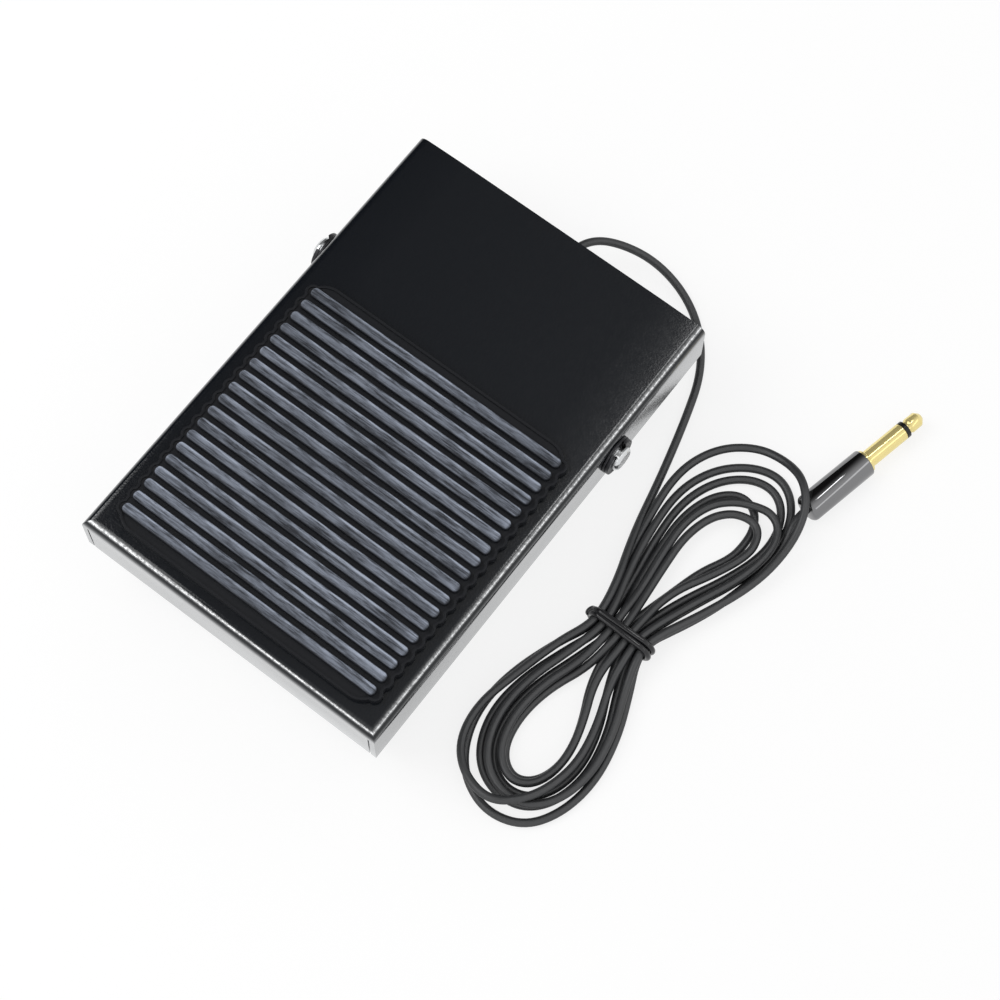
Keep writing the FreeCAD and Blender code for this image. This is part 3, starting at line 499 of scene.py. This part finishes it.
# Each pass round an end of the hank: how far it lies from the outer outline to the inner one, and how
# high, both from the left side round to the right. A front pass also has the column and the layer (0 low,
# 1 high) of its crossing of the waist, first at the left and then at the right.
FRONT_PASSES = [
    ((0.06, 0.18, -0.08, 0.0, 0.15, 0.62, 0.66, 0.62, 0.52),
     (TOP_LAYER, TOP_LAYER, 3.2, 4.5, 4.3, 2.8, TOP_LAYER), (0, 1), (5, 1)),
    ((0.80, 0.86, 0.90, 0.92, 0.88, 0.88, 0.96, 1.0, 0.92), ON_TOP, (2, 1), (4, 1)),
    ((1.0, 1.0), (1.6, FLOOR_LAYER, FLOOR_LAYER, FLOOR_LAYER, FLOOR_LAYER), (3, 1), (3, 0)),
    ((0.62, 0.68, 0.72, 0.74, 0.70, 0.62, 0.54, 0.52, 0.55), ON_FLOOR, (2, 0), (4, 0)),
    ((0.30, 0.32, 0.38, 0.44, 0.46, 0.38, 0.28, 0.26, 0.30), ON_FLOOR, (1, 0), (5, 0)),
    ((0.42, 0.50, 0.58, 0.60, 0.54, 0.36, 0.20, 0.14, 0.12), ON_TOP, (1, 1), (6, 1)),
    ((0.0, 0.0, 0.08, 0.06, 0.0, 0.0, 0.0, 0.0, 0.0), ON_FLOOR, (0, 0), (6, 0)),
]
REAR_PASSES = [
    ((0.80, 0.78, 0.76, 0.82, 0.80, 0.64, 0.46, 0.40, 0.40), ON_TOP),
    ((1.0, 1.0, 1.0, 1.0, 1.02, 1.0, 1.0, 1.0, 1.0), ON_TOP),
    ((0.60, 0.62, 0.62, 0.60, 0.78, 1.1, 1.5, 1.5, 1.0), ON_FLOOR),
    ((0.40, 0.38, 0.40, 0.38, 0.36, 0.42, 0.60, 0.72, 0.70), ON_FLOOR),
    ((0.20, 0.15, 0.18, 0.20, 0.15, 0.20, 0.34, 0.44, 0.42),
     (TOP_LAYER, 0.95, FLOOR_LAYER, FLOOR_LAYER, FLOOR_LAYER)),
    ((0.0, -0.10, -0.12, -0.08, -0.02, 0.0, 0.0, 0.0, 0.0),
     (1.0, 1.6, TOP_LAYER, TOP_LAYER, 2.8, 4.0, 6.6, 6.6, 4.3, 2.8, TOP_LAYER)),
]


def between(values, share):
    """The value at a share along a list, with straight steps."""
    place = share * (len(values) - 1)
    index = min(int(place), len(values) - 2)
    return values[index] + (values[index + 1] - values[index]) * (place - index)


def lobe_points(outer, inner, shares, heights):
    """One pass round an end of the hank, from the left side to the right."""
    points = []
    last = len(outer) - 1
    for index, (far, near) in enumerate(zip(outer, inner)):
        share = between(shares, index / last)
        points.append((far[0] + (near[0] - far[0]) * share, far[1] + (near[1] - far[1]) * share,
                       between(heights, index / last)))
    return points


def waist_points(column, layer, way):
    """The two points of one crossing of the waist, towards the front (-1) or the rear (1)."""
    x = WAIST_FIRST + column * WAIST_STEP
    z = WAIST_HIGH if layer else WAIST_LOW
    return [(x, WAIST_Y - way * WAIST_REACH, z), (x, WAIST_Y + way * WAIST_REACH, z)]


def hank_points():
    """The turns of the hank: over the waist, round the front end, over the waist and round the rear end."""
    points = []
    for turn, (shares, heights, left, right) in enumerate(FRONT_PASSES):
        points += waist_points(*left, -1)
        points += lobe_points(FRONT_OUTER, FRONT_INNER, shares, heights)
        points += waist_points(*right, 1)
        if turn < len(REAR_PASSES):
            points += reversed(lobe_points(REAR_OUTER, REAR_INNER, *REAR_PASSES[turn]))
    return points


def plug_place():
    """Where the plug starts and the way it points, in metres."""
    for mount in frame["record"]["mounts"]:
        if mount["name"] == "plug_sleeve":
            way = Vector(mount["axis"])
            middle = Vector(mount["pos_m"])
            own = sizes()
            back = own.barrel_length + own.collar_length + own.sleeve_length / 2
            return middle - way * back, way
    raise RuntimeError("the plug's mount is missing")


def cord_route():
    """All the points of the cord, from the bushing to the plug, in metres."""
    start, way = plug_place()
    route = [Vector(p) * MM for p in CORD_LEAD + hank_points() + CORD_TAIL]
    return route + [start - way * PLUG_RUN * MM, start]


def start_fresh():
    """Leaves object mode with nothing selected."""
    if bpy.context.mode != "OBJECT":
        bpy.ops.object.mode_set(mode="OBJECT")
    bpy.ops.object.select_all(action="DESELECT")


def pick(piece):
    """Selects one piece alone and makes it the active one."""
    start_fresh()
    piece.select_set(True)
    bpy.context.view_layer.objects.active = piece


def placed(name, data):
    """A new object with this data in the scene."""
    thing = bpy.data.objects.new(name, data)
    bpy.context.scene.collection.objects.link(thing)
    return thing


def edit_mode():
    """Opens the active piece's mesh for shaping."""
    bpy.ops.object.mode_set(mode="EDIT")


def object_mode():
    """Closes the mesh."""
    bpy.ops.object.mode_set(mode="OBJECT")


def choose_all():
    """Selects the whole open mesh."""
    bpy.ops.mesh.select_all(action="SELECT")


def choose(kind, test):
    """Selects the vertices, edges or faces of the open mesh that pass a test."""
    bpy.ops.mesh.select_mode(type=kind)
    bpy.ops.mesh.select_all(action="DESELECT")
    data = bpy.context.object.data
    mesh = bmesh.from_edit_mesh(data)
    for item in {"VERT": mesh.verts, "EDGE": mesh.edges, "FACE": mesh.faces}[kind]:
        if test(item):
            item.select_set(True)
    mesh.select_flush_mode()
    bmesh.update_edit_mesh(data)


def choose_edges_from(height):
    """Selects the edges of the open mesh that lie at a height or above it."""
    choose("EDGE", lambda edge: min(vert.co.z for vert in edge.verts) > height - TINY)


def settle(piece):
    """Moves a piece's place, turn and scale into its mesh."""
    pick(piece)
    bpy.ops.object.transform_apply(location=True, rotation=True, scale=True)


def modify(piece, kind, **settings):
    """Adds a modifier with these settings and applies it."""
    pick(piece)
    bpy.ops.object.modifier_add(type=kind)
    modifier = piece.modifiers[-1]
    for name, value in settings.items():
        setattr(modifier, name, value)
    bpy.ops.object.modifier_apply(modifier=modifier.name)


def smooth(piece, degrees=SHARP_DEGREES):
    """Smooth shading, with edges kept above an angle."""
    pick(piece)
    bpy.ops.object.shade_smooth_by_angle(angle=math.radians(degrees))


def round_edges(piece, width):
    """Rounds the sharp edges of a piece."""
    modify(piece, "BEVEL", width=width, segments=2, limit_method="ANGLE",
           angle_limit=math.radians(SHARP_DEGREES), use_clamp_overlap=True)


def even_normals(piece):
    """Lets the large flat faces keep their own direction beside the small rounded ones."""
    modify(piece, "WEIGHTED_NORMAL", mode="FACE_AREA", weight=100, keep_sharp=True)


def merge_doubles():
    """Merges the points of the open mesh that lie in one place."""
    choose_all()
    bpy.ops.mesh.remove_doubles(threshold=TINY)


def turned(name, profile, start, way, steps):
    """A turned piece: an outline of (distance, radius) pairs spun about an axis and put in its place."""
    start_fresh()
    bpy.ops.mesh.primitive_plane_add(size=MM, location=(0, 0, 0))
    piece = bpy.context.object
    piece.name = name
    edit_mode()
    choose("VERT", lambda vert: vert.index > 0)
    bpy.ops.mesh.delete(type="VERT")
    choose_all()
    mesh = bmesh.from_edit_mesh(piece.data)
    mesh.verts.ensure_lookup_table()
    corner = mesh.verts[0].co.copy()
    points = [Vector((along, radius, 0)) for along, radius in profile]
    bpy.ops.transform.translate(value=points[0] - corner)
    for before, after in zip(points, points[1:]):
        bpy.ops.mesh.extrude_region_move(TRANSFORM_OT_translate={"value": after - before})
    choose_all()
    bpy.ops.mesh.spin(steps=steps, angle=math.tau, center=(0, 0, 0), axis=(1, 0, 0))
    merge_doubles()
    bpy.ops.mesh.normals_make_consistent(inside=False)
    object_mode()
    piece.rotation_mode = "QUATERNION"
    piece.rotation_quaternion = Vector(way).to_track_quat("X", "Z")
    piece.location = start
    settle(piece)
    return piece


def rim(start, radius, steps):
    """Points of an outline near a radius, from millimetres past the start and in from the radius."""
    return [(start + along * MM, radius - inwards * MM) for along, inwards in steps]


def joined(name, pieces):
    """Joins pieces into one."""
    start_fresh()
    for piece in pieces:
        piece.select_set(True)
    bpy.context.view_layer.objects.active = pieces[0]
    bpy.ops.object.join()
    whole = bpy.context.object
    whole.name = name
    return whole


def loose_copy(node, name):
    """A copy of a node's solid with its loose triangles merged."""
    piece = placed(name, frame["nodes"][node].data.copy())
    pick(piece)
    edit_mode()
    merge_doubles()
    object_mode()
    return piece


def softened(node, name, width):
    """A copy of a node's solid with its edges rounded."""
    piece = loose_copy(node, name)
    edit_mode()
    choose_all()
    bpy.ops.mesh.dissolve_limited(angle_limit=math.radians(1))
    object_mode()
    round_edges(piece, width)
    smooth(piece)
    even_normals(piece)
    return piece


def block(name, low, high):
    """A box between two corners."""
    start_fresh()
    bpy.ops.mesh.primitive_cube_add(size=1, location=(low + high) / 2)
    piece = bpy.context.object
    piece.name = name
    piece.scale = high - low
    settle(piece)
    return piece


def cut_away(piece, tool):
    """Takes a tool's shape out of a piece and throws the tool away."""
    modify(piece, "BOOLEAN", object=tool, operation="DIFFERENCE", solver="EXACT")
    bpy.data.objects.remove(tool)


# How the top's fall is shared out over the steps of its shoulder, from the edge inwards
SHOULDER_SHARES = (0.4, 0.3, 0.2, 0.1)
# Length that is folded past the cover's open rear end and cut off again
REAR_SPARE = 20 * MM


class FoldCover(Operator):
    """Folds the cover: a top with low sloping shoulders, rounded bends, lips, corner slits and shaft holes"""
    bl_idname = "foot_switch.fold_cover"
    bl_label = "Fold Cover"

    def execute(self, context):
        own = sizes()
        falls = [own.shoulder_drop * share for share in SHOULDER_SHARES]
        top = COVER_HIGH.z - sum(falls)
        cover = block("cover", COVER_LOW, Vector((COVER_HIGH.x, COVER_HIGH.y + REAR_SPARE, top)))
        edit_mode()
        choose("FACE", lambda face: face.normal.z < -0.9)
        bpy.ops.mesh.delete(type="FACE")
        choose_edges_from(top)
        bpy.ops.mesh.bevel(offset=own.cover_bend, segments=8, affect="EDGES")
        choose("FACE", lambda face: face.normal.z > 0.999)
        for fall in falls:
            bpy.ops.mesh.inset(thickness=own.shoulder_reach, depth=fall)
        choose_all()
        bpy.ops.mesh.bisect(plane_co=(0, COVER_HIGH.y, 0), plane_no=(0, 1, 0), clear_outer=True)
        object_mode()
        modify(cover, "SOLIDIFY", thickness=own.cover_sheet, offset=-1, use_even_offset=True)
        self.cut_openings(cover, top)
        round_edges(cover, own.edge_round)
        smooth(cover, 40)
        even_normals(cover)
        dress(cover, "treadle_cover", "treadle")
        return {"FINISHED"}

    def cut_openings(self, cover, top):
        """Cuts the slit at each front corner and the holes for the shaft."""
        own = sizes()
        inner = COVER_HIGH.x - own.cover_sheet
        front = COVER_LOW.y
        for side in (-1, 1):
            ends = sorted((side * (inner - own.corner_slit), side * inner))
            low = Vector((ends[0], front - MM, COVER_LOW.z - MM))
            high = Vector((ends[1], front + own.cover_sheet, top - own.cover_bend))
            cut_away(cover, block("slit_tool", low, high))
        start_fresh()
        radius = (SHAFT_HIGH.z - SHAFT_LOW.z) / 2 + own.shaft_fit
        bpy.ops.mesh.primitive_cylinder_add(vertices=48, radius=radius, depth=2.5 * COVER_HIGH.x,
                                            location=PIVOT, rotation=(0, math.pi / 2, 0))
        cut_away(cover, bpy.context.object)


class PressPad(Operator):
    """Beds the rubber pad's sheet on the cover and lays its ribs in a row"""
    bl_idname = "foot_switch.press_pad"
    bl_label = "Press Pad"

    def execute(self, context):
        own = sizes()
        sheet = self.bed_sheet()
        rib = self.shape_rib()
        places = [PAD_LOW.y + own.rib_margin + index * own.rib_pitch for index in range(own.rib_count)]
        ribs = [rib] + [placed("rib", rib.data.copy()) for _ in places[1:]]
        for piece, place in zip(ribs, places):
            piece.location = (0, place, 0)
            settle(piece)
        dress(joined("pad", [sheet] + ribs), "rubber_pad", "treadle")
        return {"FINISHED"}

    def bed_sheet(self):
        """The pad's scalloped sheet without its ribs, let down to the cover's sloping shoulders."""
        own = sizes()
        rib_tops = PAD_HIGH.z - 0.2 * MM
        underside = PAD_LOW.z + 0.02 * MM
        sheet = loose_copy("rubber_pad", "pad_sheet")
        edit_mode()
        choose("VERT", lambda vert: vert.co.z > rib_tops)
        bpy.ops.mesh.delete(type="VERT")
        choose("VERT", lambda vert: vert.co.z < underside)
        bpy.ops.transform.translate(value=(0, 0, -own.shoulder_drop))
        object_mode()
        round_edges(sheet, own.pad_round)
        smooth(sheet)
        even_normals(sheet)
        return sheet

    def shape_rib(self):
        """One rib with round ends and a rounded top."""
        own = sizes()
        reach = PAD_HIGH.x - own.rib_end
        half = own.rib_width / 2
        rib = block("rib", Vector((-reach, -half, PAD_LOW.z)), Vector((reach, half, PAD_HIGH.z)))
        edit_mode()
        choose("EDGE", lambda edge: abs(edge.verts[0].co.z - edge.verts[1].co.z) > own.rib_height / 2)
        bpy.ops.mesh.bevel(offset=0.92 * half, segments=8, affect="EDGES")
        choose_edges_from(PAD_HIGH.z)
        bpy.ops.mesh.bevel(offset=own.rib_round, segments=5, affect="EDGES")
        object_mode()
        smooth(rib)
        even_normals(rib)
        return rib


# The rounded chamfer at each end of the shaft, in millimetres along it and in from its rim
SHAFT_CHAMFER = [(0, 0.55), (0.1, 0.4), (0.42, 0.08), (0.55, 0)]


class TurnShaft(Operator):
    """Turns the pivot shaft with its chamfered ends and grooves, and rounds its washers and clips"""
    bl_idname = "foot_switch.turn_shaft"
    bl_label = "Turn Shaft"

    def execute(self, context):
        own = sizes()
        whole = SHAFT_HIGH.x - SHAFT_LOW.x
        radius = (SHAFT_HIGH.z - SHAFT_LOW.z) / 2
        groove = SHAFT_HIGH.x - CLIP_HIGH.x - own.groove_play
        inner = SHAFT_HIGH.x - WASHER_HIGH.x - own.groove_play
        neck = radius - own.groove_depth
        end = [(0, 0)] + rim(0, radius, SHAFT_CHAMFER)
        end += [(groove, radius), (groove, neck), (inner, neck), (inner, radius)]
        profile = end + [(whole - along, across) for along, across in reversed(end)]
        shaft = turned("shaft", profile, Vector((SHAFT_LOW.x, PIVOT.y, PIVOT.z)), Vector((1, 0, 0)), 72)
        smooth(shaft, 30)
        dress(shaft, "pivot_shaft", "treadle")
        for node, name in (("shaft_washers", "washers"), ("shaft_clips", "clips")):
            dress(softened(node, name, 0.08 * MM), node, "treadle")
        return {"FINISHED"}


class SoftenBase(Operator):
    """Rounds the feet, the bushing and the tray"""
    bl_idname = "foot_switch.soften_base"
    bl_label = "Soften Base"

    def execute(self, context):
        for node, name, width in (("rubber_feet", "feet", 0.4), ("cord_bushing", "bushing", 0.25),
                                  ("base_tray", "tray", 0.12)):
            dress(softened(node, name, width * MM), node, "base")
        return {"FINISHED"}


class SeatSpring(Operator):
    """Smooths the return spring and gives it a mesh of its own"""
    bl_idname = "foot_switch.seat_spring"
    bl_label = "Seat Spring"

    def execute(self, context):
        spring = loose_copy("return_spring", "spring")
        smooth(spring)
        dress(spring, "return_spring", "base")
        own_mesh(spring)
        return {"FINISHED"}


class LayCord(Operator):
    """Lays the cord in one line from the bushing, through the hank, to the plug"""
    bl_idname = "foot_switch.lay_cord"
    bl_label = "Lay Cord"

    def execute(self, context):
        route = cord_route()
        steps = 8
        data = bpy.data.curves.new("cord", "CURVE")
        data.dimensions = "3D"
        spline = data.splines.new("NURBS")
        spline.points.add(len(route) - 1)
        for point, place in zip(spline.points, route):
            point.co = (*place, 1)
        spline.order_u = 3
        spline.use_endpoint_u = True
        spline.resolution_u = steps
        data.resolution_u = steps
        data.bevel_depth = sizes().cord_diameter / 2
        data.bevel_resolution = 5
        dress(placed("cord", data), "cord_lead", "base", "cord_hank", "cord_tail")
        return {"FINISHED"}


class TieHank(Operator):
    """Ties the hank at its waist with two turns of a round band"""
    bl_idname = "foot_switch.tie_hank"
    bl_label = "Tie Hank"

    def execute(self, context):
        thickness = sizes().tie_diameter
        play = 0.05 * MM
        room = sizes().cord_diameter / 2 + thickness / 2 + play
        left = WAIST_FIRST * MM - room
        right = WAIST_LAST * MM + room
        low = WAIST_LOW * MM - room
        high = WAIST_HIGH * MM + room
        radius = (high - low) / 2
        reach = (right - left) / 2 - radius
        middle = Vector(((left + right) / 2, WAIST_Y * MM, (low + high) / 2))
        apart = 0.44 * thickness
        turns = []
        for side in (-1, 1):
            start_fresh()
            bpy.ops.mesh.primitive_torus_add(major_radius=radius, minor_radius=thickness / 2,
                                             major_segments=64, minor_segments=20,
                                             rotation=(math.pi / 2, 0, 0))
            turn = bpy.context.object
            settle(turn)
            edit_mode()
            for half in (-1, 1):
                choose("VERT", lambda vert: vert.co.x * half > TINY)
                bpy.ops.transform.translate(value=(half * reach, 0, 0))
            object_mode()
            turn.location = middle + Vector((0, side * apart, 0))
            turn.rotation_euler = (0, side * math.radians(0.6), side * math.radians(1.4))
            settle(turn)
            turns.append(turn)
        start_fresh()
        bpy.ops.mesh.primitive_torus_add(major_radius=thickness * 0.52, minor_radius=thickness * 0.44,
                                         major_segments=40, minor_segments=20,
                                         rotation=(math.radians(80), 0, math.radians(70)),
                                         location=(left - thickness * 0.05, middle.y, high - radius * 0.75))
        knot = bpy.context.object
        settle(knot)
        tie = joined("tie_band", turns + [knot])
        smooth(tie, 60)
        dress(tie, "cord_tie", "base")
        return {"FINISHED"}


# Rounding on the edges of the plug's contacts
PLUG_EDGE = 0.12 * MM


class TurnPlug(Operator):
    """Turns the plug's grip, its gold contacts and the ring between them"""
    bl_idname = "foot_switch.turn_plug"
    bl_label = "Turn Plug"

    def execute(self, context):
        own = sizes()
        start, way = plug_place()
        contact = own.sleeve_diameter / 2
        for name, node, outline, reach in (
                ("plug_grip", "plug_barrel", self.grip_outline(), own.barrel_length),
                ("plug_long_contact", "plug_sleeve", self.collar_outline(contact),
                 own.collar_length + own.sleeve_length),
                ("plug_ring", "plug_insulator", self.ring_outline(contact), own.insulator_length),
                ("plug_short_contact", "plug_tip", self.tip_outline(contact), own.tip_length)):
            piece = turned(name, outline, start, way, 96)
            smooth(piece, 40)
            dress(piece, node, "base")
            start += way * reach
        return {"FINISHED"}

    def grip_outline(self):
        """The grip: a domed end at the cord and a finely rounded one at the collar."""
        own = sizes()
        radius = own.barrel_diameter / 2
        end = own.barrel_length
        dome = rim(0, radius, [(0, 0.7), (0.12, 0.42), (0.38, 0.14), (0.8, 0)])
        rounding = rim(end, radius, [(-0.25, 0), (-0.07, 0.07), (0, 0.25)])
        return [(0, 0), (0, 0.8 * MM)] + dome + rounding + [(end, 0)]

    def collar_outline(self, contact):
        """The gold collar and the contact that stands on it."""
        own = sizes()
        collar = own.collar_diameter / 2
        step = own.collar_length
        end = step + own.sleeve_length
        return [(0, 0), (0, collar - PLUG_EDGE), (PLUG_EDGE, collar), (step - PLUG_EDGE, collar),
                (step, collar - PLUG_EDGE), (step, contact + PLUG_EDGE), (step + PLUG_EDGE, contact),
                (end - PLUG_EDGE, contact), (end, contact - PLUG_EDGE), (end, 0)]

    def ring_outline(self, contact):
        """The ring between the contacts, a hair thinner than they are."""
        end = sizes().insulator_length
        edge = 0.6 * PLUG_EDGE
        radius = contact - 0.02 * MM
        return [(0, 0), (0, contact - PLUG_EDGE), (edge, radius), (end - edge, radius),
                (end, contact - PLUG_EDGE), (end, 0)]

    def tip_outline(self, contact):
        """The contact at the end, from its neck to its rounded nose: millimetres along, share of radius."""
        end = sizes().tip_length
        neck = [(0, 0), (0, 0.76), (0.55, 0.76), (0.75, 0.85), (0.9, 0.88)]
        nose = [(-0.95, 0.88), (-0.85, 0.84), (-0.3, 0.56), (-0.1, 0.44), (0, 0.30), (0, 0)]
        outline = [(along * MM, contact * share) for along, share in neck]
        return outline + [(end + along * MM, contact * share) for along, share in nose]


class SetStage(Operator):
    """Sets the floor, the world, the lamps and the camera"""
    bl_idname = "foot_switch.set_stage"
    bl_label = "Set Stage"

    def execute(self, context):
        start_fresh()
        scene = context.scene
        scene.view_settings.view_transform = "Standard"
        set_world(scene)
        set_floor()
        set_camera(scene)
        set_lamps()
        return {"FINISHED"}


CAMERA_PLACE = Vector((0.11705, -0.12797, 0.43796))
CAMERA_AIM = Vector((0.01808, 0.00686, 0))
CAMERA_ROLL = math.radians(1.142)
CAMERA_LENS = 89.53
WHITE = (1, 1, 1, 1)
FLOOR_WHITE = (0.82, 0.82, 0.82, 1)
FLOOR_GLOW = 1.13
FLOOR_GLOW_SHARE = 0.7
WORLD_LIGHT = 0.62


def aim_at(thing, place, target, roll=0.0):
    """Puts a lamp or the camera in its place, aimed at a point and rolled."""
    thing.location = place
    thing.rotation_mode = "QUATERNION"
    look = (Vector(target) - Vector(place)).to_track_quat("-Z", "Y")
    thing.rotation_quaternion = look @ Quaternion((0, 0, 1), roll)


def set_camera(scene):
    """The camera, at the photograph's angle and distance."""
    data = bpy.data.cameras.new("camera")
    data.lens = CAMERA_LENS
    data.sensor_width = 36
    data.clip_start = 0.01
    data.clip_end = 20
    scene.camera = placed("camera", data)
    aim_at(scene.camera, CAMERA_PLACE, CAMERA_AIM, CAMERA_ROLL)


def rays_that_see_white(tree):
    """A value that is 1 for camera, glossy and transmission rays."""
    rays = tree.nodes.new("ShaderNodeLightPath").outputs
    either = maths(tree, "MAXIMUM", rays["Is Camera Ray"], rays["Is Glossy Ray"])
    return maths(tree, "MAXIMUM", either, rays["Is Transmission Ray"])


def studio_reflection(tree):
    """What shiny surfaces see: bright to the right and to the front, dark to the upper left."""
    place = tree.nodes.new("ShaderNodeTexCoord")
    split = add_node(tree, "ShaderNodeSeparateXYZ", Vector=place.outputs["Generated"])
    sides = []
    for axis, start, end, dark in (("X", -0.62, 0.55, 0.02), ("Y", -0.45, -0.7, 0.0)):
        spread = add_node(tree, "ShaderNodeMapRange", Value=split.outputs[axis], From_Min=start,
                          From_Max=end, To_Min=dark, To_Max=1.0)
        spread.interpolation_type = "SMOOTHSTEP"
        sides.append(spread.outputs["Result"])
    return maths(tree, "MAXIMUM", *sides)


def background(tree, strength):
    """A white background of one strength."""
    return add_node(tree, "ShaderNodeBackground", Color=WHITE, Strength=strength).outputs["Background"]


def set_world(scene):
    """A white world to look at, with the studio's light and dark sides in what is glossy."""
    world = bpy.data.worlds.new("studio")
    scene.world = world
    world.use_nodes = True
    tree = world.node_tree
    tree.nodes.clear()
    rays = tree.nodes.new("ShaderNodeLightPath").outputs
    seen = mixed(tree, rays_that_see_white(tree), background(tree, WORLD_LIGHT), background(tree, 1.0))
    shiny = mixed(tree, rays["Is Glossy Ray"], seen, background(tree, studio_reflection(tree)))
    add_node(tree, "ShaderNodeOutputWorld", Surface=shiny)


def set_floor():
    """A plain pale floor that keeps the shadow."""
    bpy.ops.mesh.primitive_plane_add(size=6, location=(0, 0, 0))
    floor = bpy.context.object
    floor.name = "floor"
    material = bpy.data.materials.new("floor_white")
    material.use_nodes = True
    tree = material.node_tree
    tree.nodes.clear()
    matt = add_node(tree, "ShaderNodeBsdfDiffuse", Color=FLOOR_WHITE)
    glow = add_node(tree, "ShaderNodeEmission", Color=WHITE, Strength=FLOOR_GLOW)
    share = maths(tree, "MULTIPLY", rays_that_see_white(tree), FLOOR_GLOW_SHARE)
    surface = mixed(tree, share, matt.outputs["BSDF"], glow.outputs["Emission"])
    add_node(tree, "ShaderNodeOutputMaterial", Surface=surface)
    floor.data.materials.append(material)


def add_lamp(name, place, aim, width, depth, power):
    """One rectangular area lamp, aimed at a point."""
    data = bpy.data.lights.new(name, "AREA")
    data.shape = "RECTANGLE"
    data.size = width
    data.size_y = depth
    data.energy = power
    lamp = placed(name, data)
    aim_at(lamp, place, aim)
    return lamp


def set_lamps():
    """Soft studio lamps: a broad one at the left, and narrow ones that only shine in glossy edges."""
    add_lamp("key", (-0.45, -0.30, 0.70), (0, 0, 0), 0.6, 0.6, 2.6)
    glints = [
        ("shoulder_strip", (0.034, 0.205, 0.566), (0.09, 0.01, 0.02), 0.05, 0.24, 0.24),
        ("right_strip", (0.56, 0.20, 0.50), (0.03, 0, 0.02), 0.7, 0.12, 0.3),
        ("front_strip", (-0.20, -0.60, 0.50), (0, -0.04, 0.02), 0.7, 0.12, 0.35),
    ]
    for glint in glints:
        add_lamp(*glint).visible_diffuse = False


class FinishInside(Operator):
    """Gives every node that is kept from the frame its finish"""
    bl_idname = "foot_switch.finish_inside"
    bl_label = "Finish Inside"

    def execute(self, context):
        for name, node in frame["nodes"].items():
            if node.hide_render:
                continue
            material = material_of(slot_of(name))
            if not node.material_slots:
                node.data.materials.append(material)
            for slot in node.material_slots:
                slot.material = material
        return {"FINISHED"}


class DeclareCord(Operator):
    bl_idname = "foot_switch.declare_cord"
    bl_label = "Declare Cord"

    def execute(self, context):
        return {"FINISHED"}


OPERATORS = [SetStage, FoldCover, PressPad, TurnShaft, SoftenBase, LayCord, TieHank, TurnPlug, SeatSpring,
             FinishInside, DeclareCord]


class FootSwitchPanel(Panel):
    """Lists the steps that make the foot switch"""
    bl_idname = "VIEW3D_PT_foot_switch"
    bl_label = "Foot Switch"
    bl_space_type = "VIEW_3D"
    bl_region_type = "UI"
    bl_category = "Foot Switch"

    def draw(self, context):
        layout = self.layout
        for operator in OPERATORS:
            layout.operator(operator.bl_idname)
        for group in (context.scene.foot_switch_sizes, context.scene.foot_switch_colours):
            for name in group.bl_rna.properties.keys():
                if name not in ("rna_type", "name"):
                    layout.prop(group, name)


CLASSES = [FootSwitchSizes, FootSwitchColours, *OPERATORS, FootSwitchPanel]


def register():
    """Makes the classes and their settings known to Blender."""
    for each in CLASSES:
        bpy.utils.register_class(each)
    bpy.types.Scene.foot_switch_sizes = PointerProperty(type=FootSwitchSizes)
    bpy.types.Scene.foot_switch_colours = PointerProperty(type=FootSwitchColours)


def unregister():
    """Takes the classes and their settings away again."""
    del bpy.types.Scene.foot_switch_colours
    del bpy.types.Scene.foot_switch_sizes
    for each in reversed(CLASSES):
        bpy.utils.unregister_class(each)


def main():
    """Makes the stage and the foot switch."""
    register()
    for operator in OPERATORS:
        family, name = operator.bl_idname.split(".")
        getattr(getattr(bpy.ops, family), name)()


if __name__ == "__main__":
    main()
